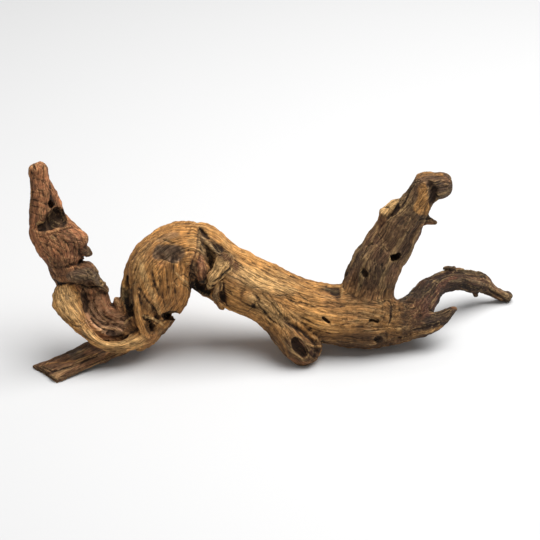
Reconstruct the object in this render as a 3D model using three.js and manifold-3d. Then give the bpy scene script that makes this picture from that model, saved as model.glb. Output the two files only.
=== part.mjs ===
// A piece of mopani driftwood: one weathered root and stem, grown as a single body.
// A thick stem arches up on the left and runs down to the right. It ends in a raised branch and a
// creeping root. A scooped cup, a tall horn and a flat plank foot grow from the left end of the arch.
// Millimetres, +Z up. The wood lies on z = 0, and the origin is under the middle of its box.

import * as THREE from "three";
import { mergeVertices } from "three/addons/utils/BufferGeometryUtils.js";
import Module from "manifold-3d";

// Driving dimensions
const LENGTH = 491; // from the horn's outer side to the root's tip
const DRAWN_LENGTH = 491; // the length at which the sections below are given
const SCALE = LENGTH / DRAWN_LENGTH;
const SIGHT_ELEVATION = 30; // degrees that the sighting line looks down on the wood
const GROUND = -81.5; // height of the resting surface, from the sighting plane's own origin

// Fineness of the surface
const CELL = 2.5; // lattice spacing
const FACES = 11000; // triangles kept after thinning
const SPAN_STEP = 5; // spacing of the sections along a limb
const FAR = 14; // distances beyond this are not worked out
const EVENING = 0.6; // how far each lattice value is drawn to the mean of its neighbours

// Weathering of the whole surface
const LUMPS = { size: 24, height: 1.5 };
const GRIT = { size: 9, height: 0.6 };
const FLUTED_FROM = 0.4; // share of a limb's radius that its flutes leave alone

// The box that holds the lattice, in the sighting frame
const LATTICE_MIN = new THREE.Vector3(-258, -120, -126);
const LATTICE_MAX = new THREE.Vector3(262, 118, 86);

// Sections are laid out in a sighting frame: x to the right, up the tilted sighting plane, and near,
// which is towards the viewer. wide is a section's half size across the limb in that plane, deep is
// its half size along near, and roll turns the section about the limb, in degrees.
const at = (x, up, near, wide, deep, roll = 0) => ({ x, up, near, wide, deep, roll });

// Limbs that the wood is made of. join is the radius of the fillet to the limbs before it. flutes
// are the weathered strands along a limb: how many fit across it, their depth and their length.
// end is a flat broken end: a point on it, and the way that it faces.
const LIMBS = [
  {
    name: "stem",
    join: 0,
    flutes: { across: 4.2, depth: 1.2, length: 60 },
    sections: [
      at(-126, -63, -14, 13, 26),
      at(-122.5, -52, -6, 16, 27),
      at(-120, -34, 2, 30, 28),
      at(-113, -14, 5, 35, 31),
      at(-107.5, 3, 7, 34.5, 33),
      at(-92.5, 15, 8, 31.5, 33),
      at(-76, 17, 6, 31, 32),
      at(-54, 3, 2, 30, 31),
      at(-30, -11, -2, 31, 30),
      at(-8, -22, -5, 30, 30),
      at(28, -36, -8, 28, 30),
      at(61, -45, -10, 30, 30),
      at(96, -48, -12, 31, 29),
      at(126, -54, -16, 21, 23),
    ],
  },
  {
    name: "front_lobe",
    join: 5,
    flutes: { across: 3.4, depth: 1, length: 50 },
    sections: [
      at(-83, 38, 10, 12, 12),
      at(-90, 30, 16, 17, 16),
      at(-95, 18, 23, 20, 18),
      at(-98, -5, 24, 20, 18),
      at(-101, -26, 19, 20, 17),
      at(-111, -43, 13, 15.5, 16),
      at(-121, -58, 7, 14, 15),
      at(-130, -67, 4, 12, 13),
    ],
  },
  {
    name: "branch",
    join: 12,
    flutes: { across: 3.6, depth: 1.3, length: 45 },
    sections: [
      at(88, -46, -12, 25, 24),
      at(99, -14, -8, 26, 25),
      at(105, 3, 0, 25, 24),
      at(112, 17, 4, 23, 23),
      at(122, 31, 9, 22.5, 21),
      at(130.5, 45.5, 13, 21.5, 20),
      at(141, 59, 17, 18, 18),
      at(147, 70, 20, 15.5, 16),
      at(154, 80, 23, 15, 15),
    ],
  },
  {
    name: "branch_knob",
    join: 5,
    sections: [at(154, 82, 24, 15, 14), at(168, 84, 22, 13.5, 15)],
  },
  {
    name: "branch_crest",
    join: 2,
    sections: [
      at(112, 46, 18, 4, 6),
      at(115.5, 56, 21, 6, 8),
      at(123.5, 64, 24, 5, 7),
      at(131, 68, 26, 3, 5),
    ],
  },
  {
    name: "branch_spur",
    join: 3,
    sections: [at(142, 49, 16, 8, 8), at(154, 50, 16, 6, 6), at(164, 46, 15, 2, 2.5)],
  },
  {
    name: "root",
    join: 6,
    flutes: { across: 3, depth: 1.3, length: 40 },
    sections: [
      at(124, -53, -16, 20, 22),
      at(144, -44, -22, 17.5, 18),
      at(157, -28, -34, 15, 15),
      at(170, -16.5, -50, 11.5, 12),
      at(190, -9.5, -68, 12.5, 12),
      at(209, -12, -82, 13.5, 11),
      at(220, -13.5, -90, 10, 9),
      at(226, -19, -94, 7.5, 8),
      at(235, -24, -99, 6, 7),
      at(247, -28, -104, 6.5, 7),
    ],
  },
  {
    name: "root_spur",
    join: 7,
    sections: [
      at(134, -57, -14, 13, 14),
      at(158, -54, -14, 12, 11),
      at(173, -48, -18, 8, 7),
      at(182, -42, -22, 4.5, 5),
      at(187, -39, -24, 2.5, 2.5),
    ],
  },
  {
    name: "root_flake",
    join: 3,
    sections: [at(147, -29, -26, 6, 8), at(137, -30, -22, 4, 6), at(129, -34, -20, 2, 3)],
  },
  {
    name: "root_thorn",
    join: 2,
    sections: [at(188, 2, -62, 3.5, 4), at(178, 2, -56, 2.5, 3)],
  },
  {
    name: "root_nub",
    join: 2,
    sections: [at(212, -18, -84, 5, 6), at(213, -26, -86, 3.5, 4)],
  },
  {
    name: "knob_leg",
    join: 9,
    flutes: { across: 3.2, depth: 0.9, length: 40 },
    sections: [
      at(3, -31, 0, 24, 24),
      at(14, -53, 4, 19, 20),
      at(25, -69, 6, 18, 19),
      at(35, -77.5, 4, 17.5, 17),
    ],
  },
  {
    name: "neck",
    join: 5,
    flutes: { across: 2.6, depth: 1.4, length: 25 },
    sections: [
      at(-203, -1, 26, 14, 14),
      at(-186, -3, 24, 12, 13),
      at(-174, -12.5, 19, 7.5, 9),
      at(-165, -18.5, 16, 3.5, 4),
    ],
  },
  {
    name: "horn",
    join: 5,
    flutes: { across: 3.4, depth: 1.1, length: 32 },
    sections: [
      at(-199, 0, 26, 16, 14),
      at(-202, 9, 29, 16, 15),
      at(-204, 18, 32, 20.5, 16),
      at(-207.5, 28, 35, 24, 16),
      at(-215.5, 40, 38, 21.5, 15),
      at(-219.5, 52, 42, 18.5, 14),
      at(-221, 64, 45, 16.5, 13),
      at(-223, 77, 49, 13.5, 12),
      at(-226, 88, 52, 10.5, 10),
      at(-226.5, 97.5, 55, 9.5, 8.5),
    ],
  },
  {
    name: "horn_lobe",
    join: 4,
    sections: [at(-200, 33, 38, 12, 13), at(-190, 30, 37, 10, 12)],
  },
  {
    name: "horn_nub",
    join: 2,
    sections: [at(-188, 22, 34, 6, 7), at(-181, 18, 34, 5.5, 6)],
  },
  {
    name: "horn_crest",
    join: 1,
    sections: [
      at(-217, 84, 47, 4, 7),
      at(-211, 70, 46, 5.5, 9),
      at(-206.5, 56, 44, 5.5, 10),
      at(-201, 44, 41, 5, 8),
    ],
  },
  {
    name: "cup_wall",
    join: 8,
    sections: [
      at(-196, -8, 16, 18, 12),
      at(-184, -26, 8, 20, 14),
      at(-171, -49, 3, 18, 16),
      at(-150, -54, 0, 18, 18),
      at(-132, -58, -4, 14, 20),
    ],
  },
  {
    name: "cup_shoulder",
    join: 4,
    sections: [at(-152, -32, 6, 4, 6), at(-147, -44, 4, 9, 10)],
  },
  {
    name: "rim",
    join: 3,
    flutes: { across: 2.4, depth: 1, length: 22 },
    sections: [
      at(-118, -60, 10, 8, 8),
      at(-131, -69, 15, 8, 8),
      at(-147, -75, 20, 6, 7),
      at(-160, -75, 24, 5.5, 6),
      at(-171, -70, 26, 6, 6),
      at(-181, -61, 27, 7, 6.5),
      at(-188.5, -51, 28, 9, 7.5),
      at(-196, -41, 29, 11.5, 8.5),
      at(-202, -31, 29, 14, 9),
      at(-204, -21, 28, 9, 8),
    ],
  },
  {
    name: "plank",
    join: 3,
    flutes: { across: 4, depth: 0.8, length: 60 },
    end: { x: -228, up: -102, near: 14, facing: [-0.72, -0.35, 0.6] },
    sections: [
      at(-238, -108, 27.4, 19, 4.6, -54),
      at(-214, -99, 14, 19.5, 4.8, -54),
      at(-187, -87, 1, 21.5, 5, -54),
      at(-160, -75.5, -6, 19.5, 6, -54),
      at(-136, -68, -11, 13.5, 8, -54),
    ],
  },
];

// Hollows cut from the limbs. edge is the radius that the cut's rim is rounded to.
const HOLLOWS = [
  {
    name: "cup",
    edge: 3,
    sections: [
      at(-179, -20, 34, 9, 16),
      at(-172, -40, 31, 14, 22),
      at(-156, -56, 28, 14, 20),
      at(-146, -50, 26, 8, 14),
    ],
  },
  {
    name: "ear_recess",
    edge: 1.5,
    sections: [at(-183, -17, 30, 4, 9), at(-181, -36, 30, 4, 10)],
  },
  {
    name: "lobe_underside",
    edge: 2,
    sections: [at(-201, 3, 46, 2.5, 5), at(-191, 6, 43, 3.5, 7), at(-182, 11, 38, 3, 8)],
  },
  {
    name: "lobe_gap",
    edge: 1,
    sections: [at(-189, 8.3, 30, 1.5, 22), at(-183, 10, 28, 2.2, 22), at(-174, 11.5, 28, 3.5, 22)],
  },
  {
    name: "arch_cavity",
    edge: 2,
    sections: [
      at(-67, 34, 38, 4, 8),
      at(-62, 22, 42, 8, 13),
      at(-61, 4, 40, 12, 16),
      at(-64, -10, 36, 12, 20),
      at(-66, -24, 26, 11, 22),
    ],
  },
  {
    name: "arch_groove",
    edge: 2,
    sections: [
      at(-70, 41, 28, 2.5, 5),
      at(-57, 31, 36, 3.5, 6),
      at(-44, 18, 35, 4.5, 7),
      at(-31, 6, 32, 3.5, 5),
      at(-22, -4, 30, 2, 3),
    ],
  },
  {
    name: "cup_side_cavity",
    edge: 2,
    sections: [at(-142, -8, 22, 4, 8), at(-142, -26, 22, 6, 12), at(-137, -42, 22, 5, 10)],
  },
  {
    name: "long_fold",
    edge: 2,
    sections: [
      at(-132, -8, 38, 2.5, 5),
      at(-126, -20, 40, 4, 8),
      at(-117, -34, 38, 4.5, 9),
      at(-112, -48, 30, 3.5, 7),
    ],
  },
  {
    name: "base_pocket",
    edge: 2,
    sections: [at(-124, -48, 26, 3.5, 8), at(-119, -58, 24, 5, 9), at(-115, -64, 22, 3, 5)],
  },
  {
    name: "scar",
    edge: 2,
    sections: [at(-108, 16.5, 45, 9, 7), at(-93, 16.5, 45.5, 9, 7)],
  },
  {
    name: "hook_notch",
    edge: 1,
    sections: [at(-103, -45.5, 10, 3, 26), at(-95, -45, 10, 4, 26)],
  },
  {
    name: "leg_groove",
    edge: 2,
    sections: [
      at(-17, -24, 30, 2.5, 5),
      at(13, -46, 28, 4.5, 9),
      at(36, -63, 22, 5, 10),
      at(47, -73, 18, 4.5, 9),
    ],
  },
  {
    name: "leg_end",
    edge: 2,
    sections: [at(26, -73, 30, 6.5, 10), at(32, -83, 28, 8, 12)],
  },
  {
    name: "leg_end_side",
    edge: 2,
    sections: [at(47, -79, 20, 4.5, 9), at(47, -88, 17, 4, 8)],
  },
  {
    name: "trunk_slot",
    edge: 1,
    sections: [at(52, -47, 22, 3, 7), at(59, -51, 21, 3.2, 7)],
  },
  {
    name: "dead_patch",
    edge: 2,
    sections: [at(53, -16, 10, 4, 7), at(66, -21, 15, 5.5, 9)],
  },
  {
    name: "low_crescent",
    edge: 1,
    sections: [at(99, -49, 15, 2.4, 5), at(107, -49, 15, 2.4, 5)],
  },
  {
    name: "tall_crescent",
    edge: 1,
    sections: [at(113, -31, 14, 2, 4), at(119, -35, 13, 2.6, 5), at(120, -48, 11, 2.2, 4)],
  },
  {
    name: "underside_knot",
    edge: 2,
    sections: [at(104, -67, 6, 4, 6), at(112, -67, 5, 4, 6)],
  },
  {
    name: "root_knot",
    edge: 2,
    sections: [at(128, -68, 2, 3.4, 5), at(133, -68, 0, 3.4, 5)],
  },
  {
    name: "branch_hole",
    edge: 1,
    sections: [at(121, 13, 26, 3.6, 9), at(127, 14, 25, 3.6, 9)],
  },
  {
    name: "stained_hole",
    edge: 1,
    sections: [at(93, -1, 26, 3.4, 9), at(95, -6, 25, 3.2, 7), at(90, -22, 22, 2.6, 3)],
  },
  {
    name: "fork_hole",
    edge: 1,
    sections: [at(77, -2, 12, 2.6, 7), at(76, -8, 12, 2.6, 6)],
  },
  {
    name: "crest_split",
    edge: 1,
    sections: [at(119, 53, 34, 2.4, 6), at(125, 62, 36, 3.2, 9), at(131, 70, 34, 2.2, 6)],
  },
  {
    name: "knob_valley",
    edge: 2,
    sections: [at(157, 86, 40, 3, 5), at(161, 77, 38, 5.5, 7), at(161, 65, 34, 5, 7)],
  },
  {
    name: "root_groove",
    edge: 2,
    sections: [at(198, 0, -60, 3, 5), at(208, -2, -68, 4.5, 6), at(220, -4, -78, 4, 5)],
  },
  {
    name: "horn_pocket",
    edge: 2,
    sections: [
      at(-223, 41, 55, 5, 8),
      at(-213, 47, 58, 9, 14),
      at(-204, 52, 56, 10, 14),
      at(-198, 52, 54, 7, 10),
    ],
  },
  {
    name: "horn_split",
    edge: 1,
    sections: [at(-215, 84, 60, 2.4, 8), at(-212, 74, 59, 3, 9), at(-211, 62, 57, 3.4, 8)],
  },
];

// Scraps that stand in the hollows or on their lips
const SCRAPS = [
  {
    name: "cavity_lump",
    join: 3,
    sections: [at(-69, 14, 28, 7, 8), at(-68, 2, 29, 9, 9), at(-66, -8, 26, 6, 7)],
  },
  {
    name: "flap",
    join: 1.5,
    sections: [
      at(-41, 13, 33, 6, 4),
      at(-46, 6, 35, 9.5, 4.5),
      at(-54, -6, 36, 7, 4.5),
      at(-61, -16, 33, 4.5, 4),
    ],
  },
  {
    name: "flap_lip",
    join: 2,
    sections: [at(-50, -14, 32, 4, 5), at(-54, -26, 27, 4.5, 6), at(-49, -34, 16, 5.5, 8)],
  },
  {
    name: "trunk_knot",
    join: 2,
    sections: [at(-24, -25, 25, 5, 5), at(-18, -27, 25, 5, 5)],
  },
  {
    name: "cup_strand",
    join: 2,
    sections: [
      at(-134, 4, 26, 4, 4),
      at(-133, -14, 30, 4.5, 5),
      at(-131, -32, 29, 4.5, 5),
      at(-127, -48, 25, 5, 5),
      at(-122, -64, 18, 5, 5),
    ],
  },
  {
    name: "hook",
    join: 2,
    sections: [at(-108, -58, 6, 6, 8), at(-103, -52, 5, 4, 6), at(-100, -50, 4, 2, 4)],
  },
];

/** Smooth minimum of two distances: the surfaces meet in a fillet of radius k. */
function smoothMin(a, b, k) {
  if (k <= 0) return Math.min(a, b);
  const h = Math.max(k - Math.abs(a - b), 0) / k;
  return Math.min(a, b) - (h * h * h * k) / 6;
}

/** A whole number's pseudo-random value from -1 to 1 at each lattice corner. */
function cornerValue(i, j, k) {
  let h = Math.imul(i, 374761393) ^ Math.imul(j, 668265263) ^ Math.imul(k, 1440662683);
  h = Math.imul(h ^ (h >>> 13), 1274126177);
  return ((h ^ (h >>> 16)) >>> 0) / 2 ** 31 - 1;
}

/** Smooth value noise from -1 to 1. */
function noise(x, y, z) {
  const [i, j, k] = [Math.floor(x), Math.floor(y), Math.floor(z)];
  const fade = (t) => t * t * t * (t * (t * 6 - 15) + 10);
  const [u, v, w] = [fade(x - i), fade(y - j), fade(z - k)];
  const { lerp } = THREE.MathUtils;
  const edge = (dj, dk) => lerp(cornerValue(i, j + dj, k + dk), cornerValue(i + 1, j + dj, k + dk), u);
  return lerp(lerp(edge(0, 0), edge(1, 0), v), lerp(edge(0, 1), edge(1, 1), v), w);
}

/** Cuts a limb's few sections into a smooth run of many, each with the axes of its ellipse. */
function runOfSections(sections) {
  const middles = sections.map((s) => new THREE.Vector3(s.x, s.up, s.near));
  const curve = new THREE.CatmullRomCurve3(middles, false, "centripetal");
  const run = [];
  const spans = sections.length - 1;
  for (let span = 0; span < spans; span++) {
    const [from, to] = [sections[span], sections[span + 1]];
    const steps = Math.max(1, Math.round(middles[span].distanceTo(middles[span + 1]) / SPAN_STEP));
    const last = span === spans - 1 ? steps : steps - 1;
    for (let step = 0; step <= last; step++) {
      const share = step / steps;
      const t = (span + share) / spans;
      const ease = share * share * (3 - 2 * share);
      const tangent = curve.getTangent(t);
      const across = new THREE.Vector3().crossVectors(tangent, new THREE.Vector3(0, 0, 1)).normalize();
      const roll = THREE.MathUtils.degToRad(THREE.MathUtils.lerp(from.roll, to.roll, ease));
      across.applyAxisAngle(tangent, roll);
      run.push({
        middle: curve.getPoint(t),
        tangent,
        across,
        through: new THREE.Vector3().crossVectors(tangent, across),
        wide: THREE.MathUtils.lerp(from.wide, to.wide, ease),
        deep: THREE.MathUtils.lerp(from.deep, to.deep, ease),
      });
    }
  }
  return run;
}

/** A box-shaped lattice of distances, in the sighting frame. */
class Lattice {
  constructor(min, max, cell) {
    this.min = min;
    this.cell = cell;
    this.size = ["x", "y", "z"].map((axis) => Math.ceil((max[axis] - min[axis]) / cell) + 1);
  }

  /** A new field over this lattice, filled with one value. */
  field(value) {
    return new Float32Array(this.size[0] * this.size[1] * this.size[2]).fill(value);
  }

  index(i, j, k) {
    return (k * this.size[1] + j) * this.size[0] + i;
  }

  /** Calls visit(x, y, z, index) for each corner inside a box. */
  forEachIn(low, high, visit) {
    const range = ["x", "y", "z"].map((axis, n) => [
      Math.max(0, Math.ceil((low[axis] - this.min[axis]) / this.cell)),
      Math.min(this.size[n] - 1, Math.floor((high[axis] - this.min[axis]) / this.cell)),
    ]);
    for (let k = range[2][0]; k <= range[2][1]; k++) {
      const z = this.min.z + k * this.cell;
      for (let j = range[1][0]; j <= range[1][1]; j++) {
        const y = this.min.y + j * this.cell;
        for (let i = range[0][0]; i <= range[0][1]; i++) {
          visit(this.min.x + i * this.cell, y, z, this.index(i, j, k));
        }
      }
    }
  }
}

/** The stretch of a limb between two neighbouring sections. */
class Stretch {
  constructor(a, b, start) {
    this.a = a;
    this.b = b;
    this.start = start; // how far along the limb it begins
    this.arm = new THREE.Vector3().subVectors(b.middle, a.middle);
    this.length = this.arm.length();
    const reach = Math.max(a.wide, a.deep, b.wide, b.deep) + FAR;
    this.low = a.middle.clone().min(b.middle).subScalar(reach);
    this.high = a.middle.clone().max(b.middle).addScalar(reach);
    this.offset = new THREE.Vector3();
  }

  /** Distance from a point to the stretch's surface, with its flutes. */
  distanceTo(x, y, z, flutes) {
    const { a, b, arm, offset } = this;
    offset.set(x, y, z).sub(a.middle);
    const t = THREE.MathUtils.clamp(offset.dot(arm) / this.length ** 2, 0, 1);
    offset.addScaledVector(arm, -t);
    const mix = (from, to) => from + (to - from) * t;
    const wide = mix(a.wide, b.wide);
    const deep = mix(a.deep, b.deep);
    const cap = Math.min(wide, deep);
    const q1 = mix(offset.dot(a.across), offset.dot(b.across)) / wide;
    const q2 = mix(offset.dot(a.through), offset.dot(b.through)) / deep;
    const q3 = mix(offset.dot(a.tangent), offset.dot(b.tangent)) / cap;
    const inflated = Math.hypot(q1, q2, q3);
    const steepness = Math.hypot(q1 / wide, q2 / deep, q3 / cap);
    const distance = steepness > 0 ? (inflated * (inflated - 1)) / steepness : -cap;
    if (!flutes || inflated < FLUTED_FROM) return distance;
    const turn = flutes.across / 2 / inflated;
    const along = (this.start + t * this.length) / flutes.length;
    return distance + flutes.depth * noise(q1 * turn, q2 * turn, along);
  }
}

/** Calls visit(index, distance) for the lattice corners near a limb, with their distance from it. */
function forEachNear(lattice, { sections, flutes, end }, visit) {
  const nearest = new Map();
  const run = runOfSections(sections);
  let start = 0;
  for (let n = 0; n < run.length - 1; n++) {
    const stretch = new Stretch(run[n], run[n + 1], start);
    start += stretch.length;
    lattice.forEachIn(stretch.low, stretch.high, (x, y, z, index) => {
      let distance = stretch.distanceTo(x, y, z, flutes);
      if (end) distance = Math.max(distance, distanceBeyond(end, x, y, z));
      if (distance < (nearest.get(index) ?? FAR)) nearest.set(index, distance);
    });
  }
  nearest.forEach((distance, index) => visit(index, distance));
}

/** How far a point is beyond the plane of a flat end. */
function distanceBeyond(end, x, y, z) {
  const [fx, fy, fz] = end.facing;
  return (x - end.x) * fx + (y - end.up) * fy + (z - end.near) * fz;
}

/** Evens a field out a little, so that its sharp creases are not jagged at the lattice's spacing. */
function soften(lattice, field) {
  const [nx, ny] = lattice.size;
  const before = field.slice();
  const steps = [1, nx, nx * ny];
  const edge = steps[0] + steps[1] + steps[2];
  for (let n = edge; n < field.length - edge; n++) {
    if (Math.abs(before[n]) > 2 * CELL) continue;
    let around = 0;
    for (const step of steps) around += before[n - step] + before[n + step];
    field[n] = THREE.MathUtils.lerp(before[n], around / (2 * steps.length), EVENING);
  }
}

/** The distance field of the whole wood. */
function woodField(lattice) {
  const wood = lattice.field(FAR);
  const add = (limb) => {
    forEachNear(lattice, limb, (n, distance) => {
      wood[n] = smoothMin(wood[n], distance, limb.join);
    });
  };
  const carve = (hollow) => {
    forEachNear(lattice, hollow, (n, distance) => {
      wood[n] = -smoothMin(-wood[n], distance, hollow.edge);
    });
  };
  LIMBS.forEach(add);
  HOLLOWS.forEach(carve);
  SCRAPS.forEach(add);
  lattice.forEachIn(LATTICE_MIN, LATTICE_MAX, (x, y, z, index) => {
    if (Math.abs(wood[index]) > 3 * CELL) return;
    for (const { size, height } of [LUMPS, GRIT]) {
      wood[index] += height * noise(x / size, y / size, z / size);
    }
  });
  soften(lattice, wood);
  return wood;
}

/** Closed triangle mesh where the field is zero. Each lattice cube is cut into six tetrahedra. */
function surfaceOf(lattice, field) {
  const nudge = 0.12 * lattice.cell; // keeps the cuts off the corners, so that no sliver is made
  for (let n = 0; n < field.length; n++) {
    if (Math.abs(field[n]) < nudge) field[n] = field[n] < 0 ? -nudge : nudge;
  }
  const [nx, ny, nz] = lattice.size;
  // A cube's corner is three bits, one for each axis. A tetrahedron walks from 0 to 7, an axis at a time.
  const stride = (bits) => (bits & 1) + ((bits >> 1) & 1) * nx + (bits >> 2) * nx * ny;
  const strides = [...Array(8).keys()].map(stride);
  const middles = [[1, 3], [1, 5], [2, 3], [2, 6], [4, 5], [4, 6]];
  const walks = middles.map(([first, second]) => [0, first, second, 7]);
  const positions = [];
  const triangles = [];
  const vertices = new Map();
  const point = (n) => new THREE.Vector3().fromArray(positions, 3 * n);

  for (let k = 0; k < nz - 1; k++) {
    for (let j = 0; j < ny - 1; j++) {
      for (let i = 0; i < nx - 1; i++) {
        const base = lattice.index(i, j, k);
        const solid = strides.map((stride) => field[base + stride] < 0);
        if (solid.every((s) => s === solid[0])) continue;
        const place = (bits) => [i + (bits & 1), j + ((bits >> 1) & 1), k + (bits >> 2)];
        const cut = (p, q) => {
          const [low, high] = p < q ? [p, q] : [q, p];
          const key = (base + strides[low]) * 8 + (high ^ low);
          if (!vertices.has(key)) {
            const [f, g] = [field[base + strides[low]], field[base + strides[high]]];
            const [from, to] = [place(low), place(high)];
            vertices.set(key, positions.length / 3);
            const share = f / (f - g);
            ["x", "y", "z"].forEach((axis, n) => {
              positions.push(lattice.min[axis] + (from[n] + (to[n] - from[n]) * share) * lattice.cell);
            });
          }
          return vertices.get(key);
        };
        for (const walk of walks) {
          const inner = walk.filter((bits) => solid[bits]);
          const outer = walk.filter((bits) => !solid[bits]);
          if (!inner.length || !outer.length) continue;
          const loop = inner.flatMap((p) => outer.map((q) => cut(p, q)));
          if (loop.length === 4) [loop[2], loop[3]] = [loop[3], loop[2]];
          const [a, b, c] = loop.slice(0, 3).map(point);
          const outwards = new THREE.Vector3();
          const pull = (bits, share) => outwards.addScaledVector(new THREE.Vector3(...place(bits)), share);
          outer.forEach((bits) => pull(bits, 1 / outer.length));
          inner.forEach((bits) => pull(bits, -1 / inner.length));
          if (b.sub(a).cross(c.sub(a)).dot(outwards) < 0) loop.reverse();
          triangles.push(loop[0], loop[1], loop[2]);
          if (loop.length === 4) triangles.push(loop[0], loop[2], loop[3]);
        }
      }
    }
  }
  return { positions, triangles };
}

/** A queue that gives back the entry of the lowest cost first. */
class CostQueue {
  entries = [];

  push(entry) {
    const { entries } = this;
    let n = entries.push(entry) - 1;
    while (n > 0) {
      const parent = (n - 1) >> 1;
      if (entries[parent].cost <= entry.cost) break;
      entries[n] = entries[parent];
      n = parent;
    }
    entries[n] = entry;
  }

  pop() {
    const { entries } = this;
    const first = entries[0];
    const last = entries.pop();
    const size = entries.length;
    let n = 0;
    while (size) {
      let child = 2 * n + 1;
      if (child >= size) break;
      if (child + 1 < size && entries[child + 1].cost < entries[child].cost) child++;
      if (entries[child].cost >= last.cost) break;
      entries[n] = entries[child];
      n = child;
    }
    if (size) entries[n] = last;
    return first;
  }
}

/** Thins a closed mesh: each step joins the two vertices whose joining moves the surface least. */
class Thinner {
  static EVENNESS = 2e-4; // how much short edges are preferred, against how flat the surface is

  constructor({ positions, triangles }) {
    this.points = [];
    for (let n = 0; n < positions.length; n += 3) {
      this.points.push(new THREE.Vector3().fromArray(positions, n));
    }
    this.faces = [];
    for (let n = 0; n < triangles.length; n += 3) this.faces.push(triangles.slice(n, n + 3));
    this.around = this.points.map(() => new Set()); // the faces round each vertex
    this.faces.forEach((face, n) => face.forEach((v) => this.around[v].add(n)));
    this.moves = new Uint32Array(this.points.length);
    this.errors = this.points.map(() => new Float64Array(10));
    this.faces.forEach((face) => this.addPlane(face));
    this.queue = new CostQueue();
    this.points.forEach((_, v) => this.neighbours(v).forEach((w) => v < w && this.offer(v, w)));
    this.left = this.faces.length;
  }

  /** Adds a face's plane to the squared-distance sums of its three vertices. */
  addPlane(face) {
    const [a, b, c] = face.map((v) => this.points[v]);
    const normal = b.clone().sub(a).cross(c.clone().sub(a));
    const area = normal.length() / 2;
    if (area < 1e-9) return;
    normal.normalize();
    const plane = [normal.x, normal.y, normal.z, -normal.dot(a)];
    let n = 0;
    for (let row = 0; row < 4; row++) {
      for (let column = row; column < 4; column++, n++) {
        for (const v of face) this.errors[v][n] += area * plane[row] * plane[column];
      }
    }
  }

  neighbours(v) {
    const found = new Set();
    for (const face of this.around[v]) this.faces[face].forEach((w) => w !== v && found.add(w));
    return found;
  }

  /** The sum of squared distances from a point to the planes gathered in q. */
  static errorAt(q, { x, y, z }) {
    return (
      q[0] * x * x + 2 * q[1] * x * y + 2 * q[2] * x * z + 2 * q[3] * x +
      q[4] * y * y + 2 * q[5] * y * z + 2 * q[6] * y + q[7] * z * z + 2 * q[8] * z + q[9]
    );
  }

  /** Queues the joining of two vertices, at the point where it costs least. */
  offer(v, w) {
    const q = this.errors[v].map((value, n) => value + this.errors[w][n]);
    const [p, r] = [this.points[v], this.points[w]];
    const tries = [p.clone().add(r).multiplyScalar(0.5), p, r];
    const system = new THREE.Matrix3().set(q[0], q[1], q[2], q[1], q[4], q[5], q[2], q[5], q[7]);
    const size = (q[0] + q[4] + q[7]) / 3;
    if (Math.abs(system.determinant()) > 1e-3 * size ** 3) {
      const best = new THREE.Vector3(-q[3], -q[6], -q[8]).applyMatrix3(system.invert());
      if (best.distanceTo(tries[0]) < 2 * p.distanceTo(r)) tries.push(best);
    }
    const costs = tries.map((point) => Thinner.errorAt(q, point));
    const chosen = costs.indexOf(Math.min(...costs));
    const cost = costs[chosen] + Thinner.EVENNESS * p.distanceToSquared(r) ** 2;
    this.queue.push({ cost, v, w, to: tries[chosen], seen: [this.moves[v], this.moves[w]] });
  }

  /** Whether a vertex can move without turning over or pinching one of its faces. */
  canMove(v, to, partner) {
    for (const n of this.around[v]) {
      const face = this.faces[n];
      if (face.includes(partner)) continue;
      const [a, b, c] = face.map((u) => this.points[u]);
      const [d, e, f] = face.map((u) => (u === v ? to : this.points[u]));
      const before = b.clone().sub(a).cross(c.clone().sub(a));
      const after = e.clone().sub(d).cross(f.clone().sub(d));
      const longest = Math.max(d.distanceToSquared(e), e.distanceToSquared(f), f.distanceToSquared(d));
      if (after.length() < 0.02 * longest) return false;
      if (before.normalize().dot(after.normalize()) < 0.25) return false;
    }
    return true;
  }

  join({ v, w, to, seen }) {
    const gone = !this.around[v].size || !this.around[w].size;
    if (gone || this.moves[v] !== seen[0] || this.moves[w] !== seen[1]) return;
    const near = this.neighbours(w);
    const shared = [...this.neighbours(v)].filter((u) => near.has(u));
    if (shared.length !== 2 || !this.canMove(v, to, w) || !this.canMove(w, to, v)) return;
    for (const n of [...this.around[w]]) {
      const face = this.faces[n];
      if (face.includes(v)) {
        face.forEach((u) => this.around[u].delete(n));
        this.faces[n] = null;
        this.left--;
      } else {
        face[face.indexOf(w)] = v;
        this.around[v].add(n);
      }
    }
    this.around[w].clear();
    this.points[v] = to;
    this.errors[w].forEach((value, n) => (this.errors[v][n] += value));
    this.moves[v]++;
    this.neighbours(v).forEach((u) => this.offer(v, u));
  }

  /** Thins the mesh to a number of faces and gives it back as flat arrays. */
  downTo(count) {
    while (this.left > count && this.queue.entries.length) this.join(this.queue.pop());
    const renumbered = new Map();
    const triangles = this.faces.filter(Boolean).flat().map((v) => {
      if (!renumbered.has(v)) renumbered.set(v, renumbered.size);
      return renumbered.get(v);
    });
    const positions = [...renumbered.keys()].flatMap((v) => this.points[v].toArray());
    return { positions, triangles };
  }
}

function geometryOf({ positions, triangles }) {
  const geometry = new THREE.BufferGeometry();
  geometry.setAttribute("position", new THREE.Float32BufferAttribute(positions, 3));
  geometry.setIndex(triangles);
  return geometry;
}

const wasm = await Module();
wasm.setup();

function solidOf(geometry) {
  const bare = geometry.clone();
  bare.deleteAttribute("normal");
  bare.deleteAttribute("uv");
  const merged = mergeVertices(bare, 1e-3);
  return new wasm.Manifold(
    new wasm.Mesh({
      numProp: 3,
      vertProperties: merged.attributes.position.array,
      triVerts: new Uint32Array(merged.index.array),
    }),
  );
}

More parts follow.
